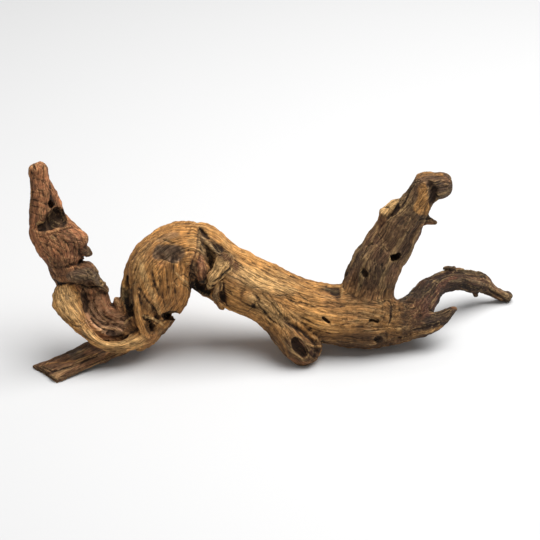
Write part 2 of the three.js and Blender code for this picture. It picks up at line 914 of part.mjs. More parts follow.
/** Cuts the wood flat where it meets the resting surface, and drops any loose scrap. */
function settleOnGround(geometry) {
  const below = new THREE.BoxGeometry(3 * LENGTH, 3 * LENGTH, LENGTH).translate(0, 0, GROUND - LENGTH / 2);
  const pieces = solidOf(geometry).subtract(solidOf(below)).decompose();
  const wood = pieces.reduce((largest, piece) => (piece.volume() > largest.volume() ? piece : largest));
  const mesh = wood.getMesh();
  return geometryOf({ positions: mesh.vertProperties, triangles: [...mesh.triVerts] });
}

function makeWood() {
  const lattice = new Lattice(LATTICE_MIN, LATTICE_MAX, CELL);
  const surface = surfaceOf(lattice, woodField(lattice));
  const upright = geometryOf(new Thinner(surface).downTo(FACES));
  upright.rotateX(THREE.MathUtils.degToRad(90 - SIGHT_ELEVATION));
  const settled = settleOnGround(upright);
  settled.computeBoundingBox();
  const middle = settled.boundingBox.getCenter(new THREE.Vector3());
  settled.translate(-middle.x, -middle.y, -GROUND);
  settled.scale(SCALE, SCALE, SCALE);
  settled.computeVertexNormals();
  const golden = new THREE.MeshStandardMaterial({ color: "#a8804f", roughness: 0.8, metalness: 0 });
  const wood = new THREE.Mesh(settled, golden);
  wood.name = "mopani_wood";
  return wood;
}

const piece = new THREE.Group();
piece.name = "mopani_wood_piece";
piece.add(makeWood());

export default piece;
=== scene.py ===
"""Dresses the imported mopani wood: its weathered skin, its colours and the studio it is seen in."""

import logging
import math
from dataclasses import dataclass, field
from enum import Enum

import bpy
import numpy as np
from mathutils import Matrix, Vector


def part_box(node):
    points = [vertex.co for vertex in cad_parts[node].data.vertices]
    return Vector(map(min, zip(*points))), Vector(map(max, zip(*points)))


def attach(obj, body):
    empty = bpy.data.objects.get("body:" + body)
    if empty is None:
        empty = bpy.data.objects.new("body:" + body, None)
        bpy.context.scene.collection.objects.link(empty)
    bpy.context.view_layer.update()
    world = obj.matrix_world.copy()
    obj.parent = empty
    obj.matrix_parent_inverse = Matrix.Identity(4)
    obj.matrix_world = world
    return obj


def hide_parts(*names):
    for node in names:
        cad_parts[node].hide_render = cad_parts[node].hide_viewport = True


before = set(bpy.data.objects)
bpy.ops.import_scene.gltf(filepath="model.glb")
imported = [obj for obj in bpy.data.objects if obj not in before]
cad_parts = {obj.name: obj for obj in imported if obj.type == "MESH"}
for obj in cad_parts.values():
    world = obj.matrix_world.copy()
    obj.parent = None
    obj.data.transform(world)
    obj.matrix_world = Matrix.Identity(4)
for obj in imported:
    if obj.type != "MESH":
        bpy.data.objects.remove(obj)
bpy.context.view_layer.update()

NODE = "mopani_wood"
MM = 0.001
log = logging.getLogger("mopani_wood")


class Hue(Enum):
    """The wood's colours, and the darks and pales of its painted shade and highlight, as red, green and
    blue from 0 to 255.
    """

    GOLDEN = (226, 162, 90)
    AMBER = (206, 142, 76)
    HONEY = (208, 148, 84)
    STRAW = (240, 190, 124)
    PALE = (246, 202, 136)
    GREYED = (150, 124, 94)
    UMBER = (108, 76, 48)
    DUSKY = (92, 70, 52)
    RUSSET = (188, 128, 88)
    COPPER = (216, 142, 94)
    ROSY = (148, 102, 74)
    ROSE = (150, 96, 70)
    RUSTY = (112, 68, 46)
    WALNUT = (138, 98, 68)
    BARK = (106, 80, 57)
    EARTH = (62, 44, 34)
    LIVER = (76, 44, 34)
    ASH = (112, 98, 80)
    SCAR = (132, 104, 80)
    MOSSY = (92, 72, 52)
    # Dark brown of cracks and grain troughs, and of painted shade in hollows, folds and creases.
    CREVICE = (58, 38, 22)
    # Near black of cracks, pits and flecks, and of painted shade in holes, cavities and under edges.
    BLACK_CRACK_AND_SHADE = (28, 22, 18)
    CLAY = (255, 196, 148)

    @property
    def linear(self) -> np.ndarray:
        """The colour in the renderer's linear scale."""
        share = np.array(self.value) / 255
        return np.where(share < 0.04045, share / 12.92, ((share + 0.055) / 1.055) ** 2.4)


@dataclass(frozen=True)
class Section:
    """One slice of a limb: its middle in the sighting frame, its half sizes and its roll, in mm."""

    x: float
    up: float
    near: float
    wide: float
    deep: float
    roll: float = 0.0


def at(x: float, up: float, near: float, wide: float, deep: float, roll: float = 0.0) -> Section:
    """A section, written short."""
    return Section(x, up, near, wide, deep, roll)


@dataclass(frozen=True)
class Flutes:
    """The weathered strands along a limb: how many fit across it, their depth and their length."""

    across: float
    depth: float
    length: float


@dataclass(frozen=True)
class FlatEnd:
    """A flat broken end: a point on it, and the way that it faces."""

    x: float
    up: float
    near: float
    facing: tuple[float, float, float]


@dataclass(frozen=True)
class Sight:
    """The sighting frame: x to the right, up the tilted sighting plane, near towards the viewer.

    distance is how far the viewer is from its middle, and ground the level of the resting surface,
    both in mm.
    """

    elevation: float = math.radians(30)
    distance: float = 2400.0
    ground: float = -81.5

    def turn(self) -> np.ndarray:
        """The matrix that turns sighting vectors upright."""
        s, c = math.sin(self.elevation), math.cos(self.elevation)
        return np.array([[1, 0, 0], [0, s, -c], [0, c, s]])

    def upright(self, points: np.ndarray) -> np.ndarray:
        """Turns sighting points upright, onto z = 0, in mm.

        Args:
            points: sighting points, one a row.

        Returns:
            The upright points.
        """
        return points @ self.turn().T - np.array([0, 0, self.ground])

    def above_ground(self, points: np.ndarray) -> np.ndarray:
        """The height of sighting points above the resting surface, in mm."""
        return points @ self.turn()[2] - self.ground


SIGHT = Sight()
# Distances from a growth are worked out as far as this, in mm.
FAR = 11.0
# Multipliers that scatter the noise: one for each axis, and one that mixes the three.
AXIS_PRIMES = (374761393, 668265263, 1440662683)
MIXING_PRIME = 1274126177


def corner_values(i: np.ndarray, j: np.ndarray, k: np.ndarray) -> np.ndarray:
    """Scatters values from -1 to 1 over whole-number corners.

    Args:
        i: the corners' first numbers.
        j: their second numbers.
        k: their third numbers.

    Returns:
        One value for each corner, always the same for the same corner.
    """
    with np.errstate(over="ignore"):
        x, y, z = (
            n.astype(np.int64).astype(np.uint32) * np.uint32(prime)
            for n, prime in zip((i, j, k), AXIS_PRIMES)
        )
        h = x ^ y ^ z
        h = (h ^ (h >> np.uint32(13))) * np.uint32(MIXING_PRIME)
        return (h ^ (h >> np.uint32(16))).astype(np.float32) / np.float32(2**31) - 1


def noise(
    points: np.ndarray, size: float | tuple[float, float, float] = 1.0, seed: int = 0,
) -> np.ndarray:
    """Smooth value noise from -1 to 1.

    Args:
        points: the places, one a row.
        size: how far the noise's lumps lie apart, or that along each axis.
        seed: picks another noise of the same kind.

    Returns:
        One value for each place.
    """
    scaled = points / np.asarray(size, dtype=np.float32) + np.float32(seed * 31.7)
    base = np.floor(scaled)
    share = (scaled - base).astype(np.float32)
    fade = share**3 * (share * (share * 6 - 15) + 10)
    i, j, k = (base[:, n].astype(np.int64) for n in range(3))
    u, v, w = fade.T

    def edge(dj: int, dk: int) -> np.ndarray:
        """The noise along one edge of the cell."""
        first = corner_values(i, j + dj, k + dk)
        return first + (corner_values(i + 1, j + dj, k + dk) - first) * u

    low = edge(0, 0)
    low = low + (edge(1, 0) - low) * v
    high = edge(0, 1)
    high = high + (edge(1, 1) - high) * v
    return low + (high - low) * w


def smooth_min(a: np.ndarray, b: np.ndarray, k: float) -> np.ndarray:
    """Joins two distances, so that their surfaces meet in a fillet.

    Args:
        a: distances from one surface.
        b: distances from the other.
        k: the fillet's radius, in mm.

    Returns:
        The smaller of the two distances, a little less where they are near each other.
    """
    if k <= 0:
        return np.minimum(a, b)
    h = np.maximum(k - np.abs(a - b), 0) / k
    return np.minimum(a, b) - h * h * h * k / 6


def smoothstep(low: float, high: float, value: np.ndarray) -> np.ndarray:
    """Eases from 0 at low to 1 at high."""
    t = np.clip((value - low) / (high - low), 0, 1)
    return t * t * (3 - 2 * t)


@dataclass
class Slice:
    """A worked-out section of a limb, with the axes of its ellipse."""

    middle: np.ndarray
    tangent: np.ndarray
    across: np.ndarray
    wide: float
    deep: float

    @property
    def through(self) -> np.ndarray:
        """The section's second axis."""
        return np.cross(self.tangent, self.across)


@dataclass
class Reading:
    """What a limb says about some points: their distance, and where they are in its grain."""

    distance: np.ndarray
    grain: np.ndarray


class Stretch:
    """The stretch of a limb between two neighbouring slices."""

    def __init__(self, a: Slice, b: Slice, start: float) -> None:
        """Works out the box and the axes that the stretch is measured with.

        Args:
            a: the slice that it begins with.
            b: the slice that it ends with.
            start: how far along the limb it begins, in mm.
        """
        self.a, self.b, self.start = a, b, start
        self.arm = b.middle - a.middle
        self.length = float(np.linalg.norm(self.arm))
        reach = max(a.wide, a.deep, b.wide, b.deep) + FAR
        self.low = np.minimum(a.middle, b.middle) - reach
        self.high = np.maximum(a.middle, b.middle) + reach
        axes = (a.across, a.through, a.tangent, b.across, b.through, b.tangent)
        self.axes = np.array(axes, dtype=np.float32).T

    def read(self, points: np.ndarray, flutes: Flutes | None) -> Reading:
        """Measures points against this stretch.

        Args:
            points: sighting points, one a row.
            flutes: the limb's strands, if it has any.

        Returns:
            Their distance from the surface, and their grain coordinates in mm.
        """
        a, b = self.a, self.b
        offset = points - a.middle.astype(np.float32)
        t = np.clip(offset @ (self.arm / self.length**2).astype(np.float32), 0, 1)
        offset = offset - t[:, None] * self.arm.astype(np.float32)
        dots = offset @ self.axes
        wide = a.wide + (b.wide - a.wide) * t
        deep = a.deep + (b.deep - a.deep) * t
        cap = np.minimum(wide, deep)
        q = dots[:, :3] + (dots[:, 3:] - dots[:, :3]) * t[:, None]
        q1, q2, q3 = q[:, 0] / wide, q[:, 1] / deep, q[:, 2] / cap
        inflated = np.sqrt(q1 * q1 + q2 * q2 + q3 * q3)
        steepness = np.sqrt((q1 / wide) ** 2 + (q2 / deep) ** 2 + (q3 / cap) ** 2)
        outward = inflated * (inflated - 1) / np.maximum(steepness, 1e-9)
        distance = np.where(steepness > 1e-9, outward, -cap)
        along = self.start + t * self.length
        ring = np.maximum(inflated, 0.4)
        turned = np.stack([q1 / ring, q2 / ring, along], axis=1).astype(np.float32)
        if flutes:
            half = flutes.across / 2
            strands = noise(turned * np.array([half, half, 1 / flutes.length], dtype=np.float32))
            distance = distance + flutes.depth * strands * (inflated > 0.4)
        radius = (wide + deep) / 2
        grain = turned * np.stack([radius, radius, np.ones_like(radius)], axis=1)
        return Reading(distance.astype(np.float32), grain)


@dataclass(frozen=True)
class Growth:
    """A limb, a hollow or a scrap: a run of sections, how it joins the wood, and its colour.

    join is the radius of its fillet to the wood before it, and ragged the depth of its broken skin.
    """

    name: str
    join: float
    hue: Hue
    sections: tuple[Section, ...]
    flutes: Flutes | None = None
    end: FlatEnd | None = None
    ragged: float = 0.0

    def slices(self, step: float = 5.0) -> list[Slice]:
        """Cuts the few sections into a smooth run of many, along a centripetal curve.

        Args:
            step: the spacing of the slices, in mm.

        Returns:
            The slices, in order.
        """
        knots = [np.array([s.x, s.up, s.near], dtype=float) for s in self.sections]
        knots = [2 * knots[0] - knots[1], *knots, 2 * knots[-1] - knots[-2]]
        run: list[Slice] = []
        spans = len(self.sections) - 1
        for span in range(spans):
            one, two = self.sections[span], self.sections[span + 1]
            p = knots[span:span + 4]
            gap = [max(np.linalg.norm(p[n + 1] - p[n]) ** 0.5, 1e-4) for n in range(3)]
            before, arm, after = (p[n + 1] - p[n] for n in range(3))
            out = (before / gap[0] - (p[2] - p[0]) / (gap[0] + gap[1]) + arm / gap[1]) * gap[1]
            into = (arm / gap[1] - (p[3] - p[1]) / (gap[1] + gap[2]) + after / gap[2]) * gap[1]
            c2 = -3 * p[1] + 3 * p[2] - 2 * out - into
            c3 = 2 * p[1] - 2 * p[2] + out + into
            steps = max(1, round(float(np.linalg.norm(arm)) / step))
            for n in range(steps + (span == spans - 1)):
                s = n / steps
                ease = s * s * (3 - 2 * s)
                tangent = out + 2 * c2 * s + 3 * c3 * s * s
                tangent /= np.linalg.norm(tangent)
                across = Vector(np.cross(tangent, [0, 0, 1])).normalized()
                roll = math.radians(one.roll + (two.roll - one.roll) * ease)
                across.rotate(Matrix.Rotation(roll, 3, Vector(tangent)))
                run.append(Slice(
                    middle=p[1] + out * s + c2 * s * s + c3 * s**3,
                    tangent=tangent,
                    across=np.array(across),
                    wide=one.wide + (two.wide - one.wide) * ease,
                    deep=one.deep + (two.deep - one.deep) * ease,
                ))
        return run

    def stretches(self) -> list[Stretch]:
        """Lines up the stretches between the slices.

        Returns:
            The stretches, in order.
        """
        run = self.slices()
        found: list[Stretch] = []
        start = 0.0
        for a, b in zip(run, run[1:]):
            found.append(Stretch(a, b, start))
            start += found[-1].length
        return found

    def finish_distance(self, points: np.ndarray, distance: np.ndarray) -> np.ndarray:
        """Adds the flat end and the broken skin to a distance.

        Args:
            points: sighting points, one a row.
            distance: their distance from the plain growth.

        Returns:
            Their distance from the finished growth.
        """
        if self.end:
            offset = points - np.array([self.end.x, self.end.up, self.end.near], dtype=np.float32)
            distance = np.maximum(distance, offset @ np.array(self.end.facing, dtype=np.float32))
        if self.ragged:
            broken = 0.6 * noise(points, 5.5, seed=3) + 0.4 * noise(points, 2.8, seed=4)
            distance = distance + self.ragged * broken
        return distance

    def read(self, points: np.ndarray) -> Reading:
        """Measures any points against the whole growth.

        Args:
            points: sighting points, one a row.

        Returns:
            Their distance, capped at FAR, with the grain of the nearest stretch.
        """
        stretches = self.stretches()
        low = np.min([stretch.low for stretch in stretches], axis=0)
        high = np.max([stretch.high for stretch in stretches], axis=0)
        nearby = np.nonzero(np.all((points > low) & (points < high), axis=1))[0]
        close = points[nearby]
        nearest = np.full(len(close), FAR, dtype=np.float32)
        grain = np.zeros((len(points), 3), dtype=np.float32)
        for stretch in stretches:
            inside = np.nonzero(np.all((close > stretch.low) & (close < stretch.high), axis=1))[0]
            if not len(inside):
                continue
            reading = stretch.read(close[inside], self.flutes)
            closer = reading.distance < nearest[inside]
            chosen = inside[closer]
            nearest[chosen] = reading.distance[closer]
            grain[nearby[chosen]] = reading.grain[closer]
        distance = np.full(len(points), FAR, dtype=np.float32)
        distance[nearby] = np.minimum(self.finish_distance(close, nearest), FAR)
        return Reading(distance, grain)


def rounded(line: tuple[tuple[float, float], ...], closed: bool) -> np.ndarray:
    """Rounds the corners of a bent line by cutting them twice.

    Args:
        line: the line's points on the sighting plane.
        closed: whether its end joins its start.

    Returns:
        The rounded line's points; a closed one ends where it starts.
    """
    points = np.array(line, dtype=np.float32)
    for _ in range(2):
        following = np.roll(points, -1, axis=0)
        cut = np.stack([0.75 * points + 0.25 * following, 0.25 * points + 0.75 * following], axis=1)
        if closed:
            points = cut.reshape(-1, 2)
        else:
            points = np.concatenate([points[:1], cut[:-1].reshape(-1, 2), points[-1:]])
    return np.concatenate([points, points[:1]]) if closed else points


def nearest_on_line(places: np.ndarray, line: np.ndarray) -> tuple[np.ndarray, np.ndarray]:
    """Finds the nearest place on a bent line.

    Args:
        places: places on the sighting plane, one a row.
        line: the line's points.

    Returns:
        How far each place is from the line, and how far along it the nearest place is, from 0 to 1.
    """
    arms = np.diff(line, axis=0)
    lengths = np.maximum(np.linalg.norm(arms, axis=1), 1e-4)
    starts = np.concatenate([[0], np.cumsum(lengths)])
    nearest = np.full(len(places), np.inf)
    along = np.zeros(len(places))
    for start, corner, arm, length in zip(starts, line, arms, lengths):
        offset = places - corner
        share = np.clip(offset @ arm / length**2, 0, 1)
        distance = np.linalg.norm(offset - share[:, None] * arm, axis=1)
        closer = distance < nearest
        nearest[closer] = distance[closer]
        along[closer] = start + share[closer] * length
    return nearest, along / starts[-1]


@dataclass(frozen=True)
class Crease:
    """A line on the side that is seen: sunk where deep is above zero, raised where it is below. Most are
    cracks and grain lines; some are painted shade along folds and under edges, and some painted highlight
    on crests.

    Its run is on the sighting plane and wide is half its width, in mm. tip is the share of that
    width at its ends, edge where it fades across, in half widths, patchy how far it fades in and
    out, and reach how far past its run it can show, in mm.
    """

    hue: Hue
    strength: float
    wide: float
    deep: float
    run: tuple[tuple[float, float], ...]
    tip: float = 0.45
    edge: tuple[float, float] = (0.35, 1.35)
    patchy: float = 0.6
    reach: float = 6.0

    def cover(self, places: np.ndarray) -> np.ndarray:
        """Works out where the line lies.

        Args:
            places: places on the sighting plane, one a row.

        Returns:
            How much of the line lies on each place, from 0 to 1.
        """
        distance, along = nearest_on_line(places, rounded(self.run, False))
        wide = self.wide * (self.tip + (1 - self.tip) * np.sqrt(np.sin(np.pi * along)))
        return 1 - smoothstep(*self.edge, distance / np.maximum(wide, 0.3))


@dataclass(frozen=True)
class Spot:
    """A spot on the side that is seen, outlined on the sighting plane, sunken or not. Most are stains; some
    are painted shade in cavities, folds, pockets and undersides, and a few painted highlight.

    edge is how far its border fades, sunk how deep it lies and margin how far past its border it is
    looked for, in mm. patchy is how far it thins out.
    """

    hue: Hue
    strength: float
    run: tuple[tuple[float, float], ...]
    sunk: float = 0.0
    edge: float = 1.3
    patchy: float = 0.2
    margin: float = 3.0

    @property
    def deep(self) -> float:
        """How deep the spot lies."""
        return self.sunk

    @property
    def reach(self) -> float:
        """How far past its outline the spot can show."""
        return self.margin + self.edge

    def cover(self, places: np.ndarray) -> np.ndarray:
        """Works out where the spot lies.

        Args:
            places: places on the sighting plane, one a row.

        Returns:
            How much of the spot lies on each place, from 0 to 1.
        """
        outline = rounded(self.run, True)
        distance, _ = nearest_on_line(places, outline)
        inside = np.zeros(len(places), dtype=bool)
        x, up = places.T
        for (x1, up1), (x2, up2) in zip(outline, outline[1:]):
            if up1 != up2:
                inside ^= ((up1 > up) != (up2 > up)) & (x < (x2 - x1) * (up - up1) / (up2 - up1) + x1)
        return smoothstep(-self.edge, self.edge, np.where(inside, distance, -distance))


Mark = Crease | Spot


def creases(
    hue: Hue, strength: float, wide: float, deep: float, *runs: tuple[tuple[float, float], ...],
) -> tuple[Crease, ...]:
    """Several creases of one kind."""
    return tuple(Crease(hue, strength, wide, deep, run) for run in runs)


LIMBS = (
    Growth("stem", 0, Hue.GOLDEN, flutes=Flutes(4.2, 1.2, 60), sections=(
        at(-126, -63, -14, 13, 26), at(-122.5, -52, -6, 16, 27), at(-120, -34, 2, 30, 28),
        at(-113, -14, 5, 35, 31), at(-107.5, 3, 7, 34.5, 33), at(-92.5, 15, 8, 31.5, 33),
        at(-76, 17, 6, 31, 32), at(-54, 3, 2, 30, 31), at(-30, -11, -2, 31, 30), at(-8, -22, -5, 30, 30),
        at(28, -36, -8, 28, 30), at(61, -45, -10, 30, 30), at(96, -48, -12, 31, 29),
        at(126, -54, -16, 21, 23),
    )),
    Growth("front_lobe", 5, Hue.AMBER, flutes=Flutes(3.4, 1, 50), sections=(
        at(-83, 38, 10, 12, 12), at(-90, 30, 16, 17, 16), at(-95, 18, 23, 20, 18), at(-98, -5, 24, 20, 18),
        at(-101, -26, 19, 20, 17), at(-111, -43, 13, 15.5, 16), at(-121, -58, 7, 14, 15),
        at(-130, -67, 4, 12, 13),
    )),
    Growth("branch", 12, Hue.BARK, flutes=Flutes(3.6, 1.3, 45), sections=(
        at(88, -46, -12, 25, 24), at(99, -14, -8, 26, 25), at(105, 3, 0, 25, 24), at(112, 17, 4, 23, 23),
        at(122, 31, 9, 22.5, 21), at(130.5, 45.5, 13, 21.5, 20), at(141, 59, 17, 18, 18),
        at(147, 70, 20, 15.5, 16), at(154, 80, 23, 15, 15),
    )),
    Growth("branch_knob", 5, Hue.BARK, sections=(at(154, 82, 24, 15, 14), at(168, 84, 22, 13.5, 15))),
    Growth("branch_crest", 2, Hue.STRAW, ragged=1.4, sections=(
        at(112, 46, 18, 4, 6), at(115.5, 56, 21, 6, 8), at(123.5, 64, 24, 5, 7), at(131, 68, 26, 3, 5),
    )),
    Growth("branch_spur", 3, Hue.UMBER, ragged=0.8, sections=(
        at(142, 49, 16, 8, 8), at(154, 50, 16, 6.5, 6), at(163, 47, 15, 3.6, 3.6),
    )),
    Growth("root", 6, Hue.EARTH, flutes=Flutes(3, 1.3, 40), sections=(
        at(124, -53, -16, 20, 22), at(144, -44, -22, 17.5, 18), at(157, -28, -34, 15, 15),
        at(170, -16.5, -50, 11.5, 12), at(190, -9.5, -68, 12.5, 12), at(209, -12, -82, 13.5, 11),
        at(220, -13.5, -90, 10, 9), at(226, -19, -94, 7.5, 8), at(235, -24, -99, 6, 7),
        at(247, -28, -104, 6.5, 7),
    )),
    Growth("root_spur", 7, Hue.EARTH, sections=(
        at(134, -57, -14, 13, 14), at(158, -54, -14, 12, 11), at(173, -48, -18, 8, 7),
        at(182, -42, -22, 4.5, 5), at(187, -39, -24, 2.5, 2.5),
    )),
    Growth("root_flake", 3, Hue.ASH, ragged=1.2, sections=(
        at(147, -29, -26, 6, 8), at(137, -30, -22, 4, 6), at(129, -34, -20, 2, 3),
    )),
    Growth("root_thorn", 2, Hue.DUSKY, ragged=0.8, sections=(
        at(188, 2, -62, 3.5, 4), at(178, 2, -56, 2.5, 3),
    )),
    Growth("root_nub", 2, Hue.DUSKY, sections=(at(212, -18, -84, 5, 6), at(213, -26, -86, 3.5, 4))),
    Growth("knob_leg", 9, Hue.HONEY, flutes=Flutes(3.2, 0.9, 40), sections=(
        at(3, -31, 0, 24, 24), at(14, -53, 4, 19, 20), at(25, -69, 6, 18, 19), at(35, -77.5, 4, 17.5, 17),
    )),
    Growth("neck", 5, Hue.MOSSY, flutes=Flutes(2.6, 1.4, 25), ragged=1.0, sections=(
        at(-203, -1, 26, 14, 14), at(-186, -3, 24, 12, 13), at(-174, -12.5, 19, 7.5, 9),
        at(-165, -18.5, 16, 3.5, 4),
    )),
    Growth("horn", 5, Hue.COPPER, flutes=Flutes(3.4, 1.1, 32), sections=(
        at(-199, 0, 26, 16, 14), at(-202, 9, 29, 16, 15), at(-204, 18, 32, 20.5, 16),
        at(-207.5, 28, 35, 24, 16), at(-215.5, 40, 38, 21.5, 15), at(-219.5, 52, 42, 18.5, 14),
        at(-221, 64, 45, 16.5, 13), at(-223, 77, 49, 13.5, 12), at(-226, 88, 52, 10.5, 10),
        at(-226.5, 97.5, 55, 9.5, 8.5),
    )),
    Growth("horn_lobe", 4, Hue.COPPER, sections=(at(-200, 33, 38, 12, 13), at(-190, 30, 37, 10, 12))),
    Growth("horn_nub", 2, Hue.DUSKY, ragged=1.0, sections=(
        at(-188, 22, 34, 6, 7), at(-181, 18, 34, 5.5, 6),
    )),
    Growth("horn_crest", 1, Hue.RUSSET, ragged=0.8, sections=(
        at(-217, 84, 47, 4, 7), at(-211, 70, 46, 5.5, 9), at(-206.5, 56, 44, 5.5, 10),
        at(-201, 44, 41, 5, 8),
    )),
    Growth("cup_wall", 8, Hue.RUSSET, sections=(
        at(-196, -8, 16, 18, 12), at(-184, -26, 8, 20, 14), at(-171, -49, 3, 18, 16),
        at(-150, -54, 0, 18, 18), at(-132, -58, -4, 14, 20),
    )),
    Growth("cup_shoulder", 4, Hue.ROSY, sections=(at(-152, -32, 6, 4, 6), at(-147, -44, 4, 9, 10))),
    Growth("rim", 3, Hue.GOLDEN, flutes=Flutes(2.4, 1, 22), sections=(
        at(-118, -60, 10, 8, 8), at(-131, -69, 15, 8, 8), at(-147, -75, 20, 6, 7),
        at(-160, -75, 24, 5.5, 6), at(-171, -70, 26, 6, 6), at(-181, -61, 27, 7, 6.5),
        at(-188.5, -51, 28, 9, 7.5), at(-196, -41, 29, 11.5, 8.5), at(-202, -31, 29, 14, 9),
        at(-204, -21, 28, 9, 8),
    )),
    Growth(
        "plank", 3, Hue.WALNUT, flutes=Flutes(4, 0.8, 60), end=FlatEnd(-228, -102, 14, (-0.72, -0.35, 0.6)),
        sections=(
            at(-238, -108, 27.4, 19, 4.6, -54), at(-214, -99, 14, 19.5, 4.8, -54),
            at(-187, -87, 1, 21.5, 5, -54), at(-160, -75.5, -6, 19.5, 6, -54),
            at(-136, -68, -11, 13.5, 8, -54),
        ),
    ),
)

# Hollows carved from the wood. The near-black, dusky and umber hues of holes, cavities, grooves and
# recesses are painted shade laid inside them; the clay, scar, amber and russet hues are those hollows' own
# colour.
HOLLOWS = (
    Growth("cup", 3, Hue.CLAY, sections=(
        at(-179, -20, 34, 9, 16), at(-172, -40, 31, 14, 22), at(-156, -56, 28, 14, 20),
        at(-146, -50, 26, 8, 14),
    )),
    Growth("ear_recess", 1.5, Hue.DUSKY, sections=(at(-183, -17, 30, 4, 9), at(-181, -36, 30, 4, 10))),
    Growth("lobe_underside", 2, Hue.DUSKY, sections=(
        at(-201, 3, 46, 2.5, 5), at(-191, 6, 43, 3.5, 7), at(-182, 11, 38, 3, 8),
    )),
    Growth("lobe_gap", 1, Hue.DUSKY, sections=(
        at(-189, 8.3, 30, 1.5, 22), at(-183, 10, 28, 2.2, 22), at(-174, 11.5, 28, 3.5, 22),
    )),
    Growth("arch_cavity", 2, Hue.UMBER, ragged=1.2, sections=(
        at(-67, 34, 38, 4, 8), at(-62, 22, 42, 8, 13), at(-61, 4, 40, 12, 16), at(-64, -10, 36, 12, 20),
        at(-66, -24, 26, 11, 22),
    )),
    Growth("arch_groove", 2, Hue.UMBER, sections=(
        at(-70, 41, 28, 2.5, 5), at(-57, 31, 36, 3.5, 6), at(-44, 18, 35, 4.5, 7), at(-31, 6, 32, 3.5, 5),
        at(-22, -4, 30, 2, 3),
    )),
    Growth("cup_side_cavity", 2, Hue.BLACK_CRACK_AND_SHADE, ragged=1.0, sections=(
        at(-142, -8, 22, 4, 8), at(-142, -26, 22, 6, 12), at(-137, -42, 22, 5, 10),
    )),
    Growth("long_fold", 2, Hue.UMBER, sections=(
        at(-132, -8, 38, 1.6, 3.5), at(-126, -20, 40, 2.2, 4.5), at(-117, -34, 38, 2.6, 5.5),
        at(-112, -48, 30, 2.4, 5),
    )),
    Growth("base_pocket", 2, Hue.DUSKY, sections=(
        at(-124, -48, 26, 3.5, 8), at(-119, -58, 24, 5, 9), at(-115, -64, 22, 3, 5),
    )),
    Growth("scar", 2, Hue.SCAR, sections=(at(-108, 16.5, 45, 9, 7), at(-93, 16.5, 45.5, 9, 7))),
    Growth("hook_notch", 1, Hue.DUSKY, sections=(at(-103, -45.5, 10, 3, 26), at(-95, -45, 10, 4, 26))),
    Growth("leg_groove", 4, Hue.AMBER, sections=(
        at(-17, -24, 30, 1.8, 4), at(13, -47, 28, 2.8, 6), at(36, -64, 22, 3.4, 7), at(47, -74, 18, 3, 7),
    )),
    Growth("leg_end", 2, Hue.UMBER, sections=(at(26, -73, 30, 6.5, 10), at(32, -83, 28, 8, 12))),
    Growth("leg_end_side", 2, Hue.DUSKY, sections=(at(47, -79, 20, 4.5, 9), at(47, -88, 17, 4, 8))),
    Growth("trunk_slot", 1, Hue.BLACK_CRACK_AND_SHADE, sections=(at(53, -48, 22, 1.5, 4.5), at(59, -51.5, 21, 1.7, 4.5))),
    Growth("dead_patch", 2, Hue.BLACK_CRACK_AND_SHADE, sections=(at(53, -16, 10, 4, 7), at(66, -21, 15, 5.5, 9))),
    Growth("low_crescent", 1, Hue.BLACK_CRACK_AND_SHADE, sections=(at(100, -50, 15, 1.1, 3), at(107, -50, 15, 1.1, 3))),
    Growth("tall_crescent", 1, Hue.BLACK_CRACK_AND_SHADE, sections=(
        at(113, -31, 14, 0.9, 2.5), at(119, -35, 13, 1.1, 3), at(120, -48, 11, 0.9, 2.5),
    )),
    Growth("underside_knot", 2, Hue.LIVER, sections=(at(107, -69, 6, 2.4, 3), at(110, -69, 5, 2.4, 3))),
    Growth("root_knot", 2, Hue.DUSKY, sections=(at(128, -69, 2, 2, 2.5), at(131, -69, 0, 2, 2.5))),
    Growth("branch_hole", 1, Hue.BLACK_CRACK_AND_SHADE, sections=(at(121, 13, 26, 3.6, 9), at(127, 14, 25, 3.6, 9))),
    Growth("stained_hole", 1, Hue.BLACK_CRACK_AND_SHADE, sections=(
        at(93, -1, 26, 3.4, 9), at(95, -6, 25, 3.2, 7), at(90, -22, 22, 2.6, 3),
    )),
    Growth("fork_hole", 1, Hue.BLACK_CRACK_AND_SHADE, sections=(at(77, -2, 12, 2.6, 7), at(76, -8, 12, 2.6, 6))),
    Growth("crest_split", 1, Hue.BLACK_CRACK_AND_SHADE, sections=(
        at(121, 54, 34, 1.5, 5), at(126, 62, 36, 2, 7), at(131, 70, 34, 1.6, 5),
    )),
    Growth("knob_valley", 2, Hue.DUSKY, sections=(
        at(157, 86, 40, 3, 5), at(161, 77, 38, 5.5, 7), at(161, 65, 34, 5, 7),
    )),
    Growth("root_groove", 2, Hue.BLACK_CRACK_AND_SHADE, sections=(
        at(198, 0, -60, 3, 5), at(208, -2, -68, 4.5, 6), at(220, -4, -78, 4, 5),
    )),
    Growth("horn_pocket", 2, Hue.MOSSY, sections=(
        at(-223, 41, 55, 5, 8), at(-213, 47, 58, 9, 14), at(-204, 52, 56, 10, 14), at(-198, 52, 54, 7, 10),
    )),
    Growth("horn_split", 1, Hue.RUSSET, sections=(
        at(-217, 84, 54, 0.6, 2), at(-215, 74, 53, 0.8, 2), at(-214, 62, 53, 1.2, 3),
    )),
)

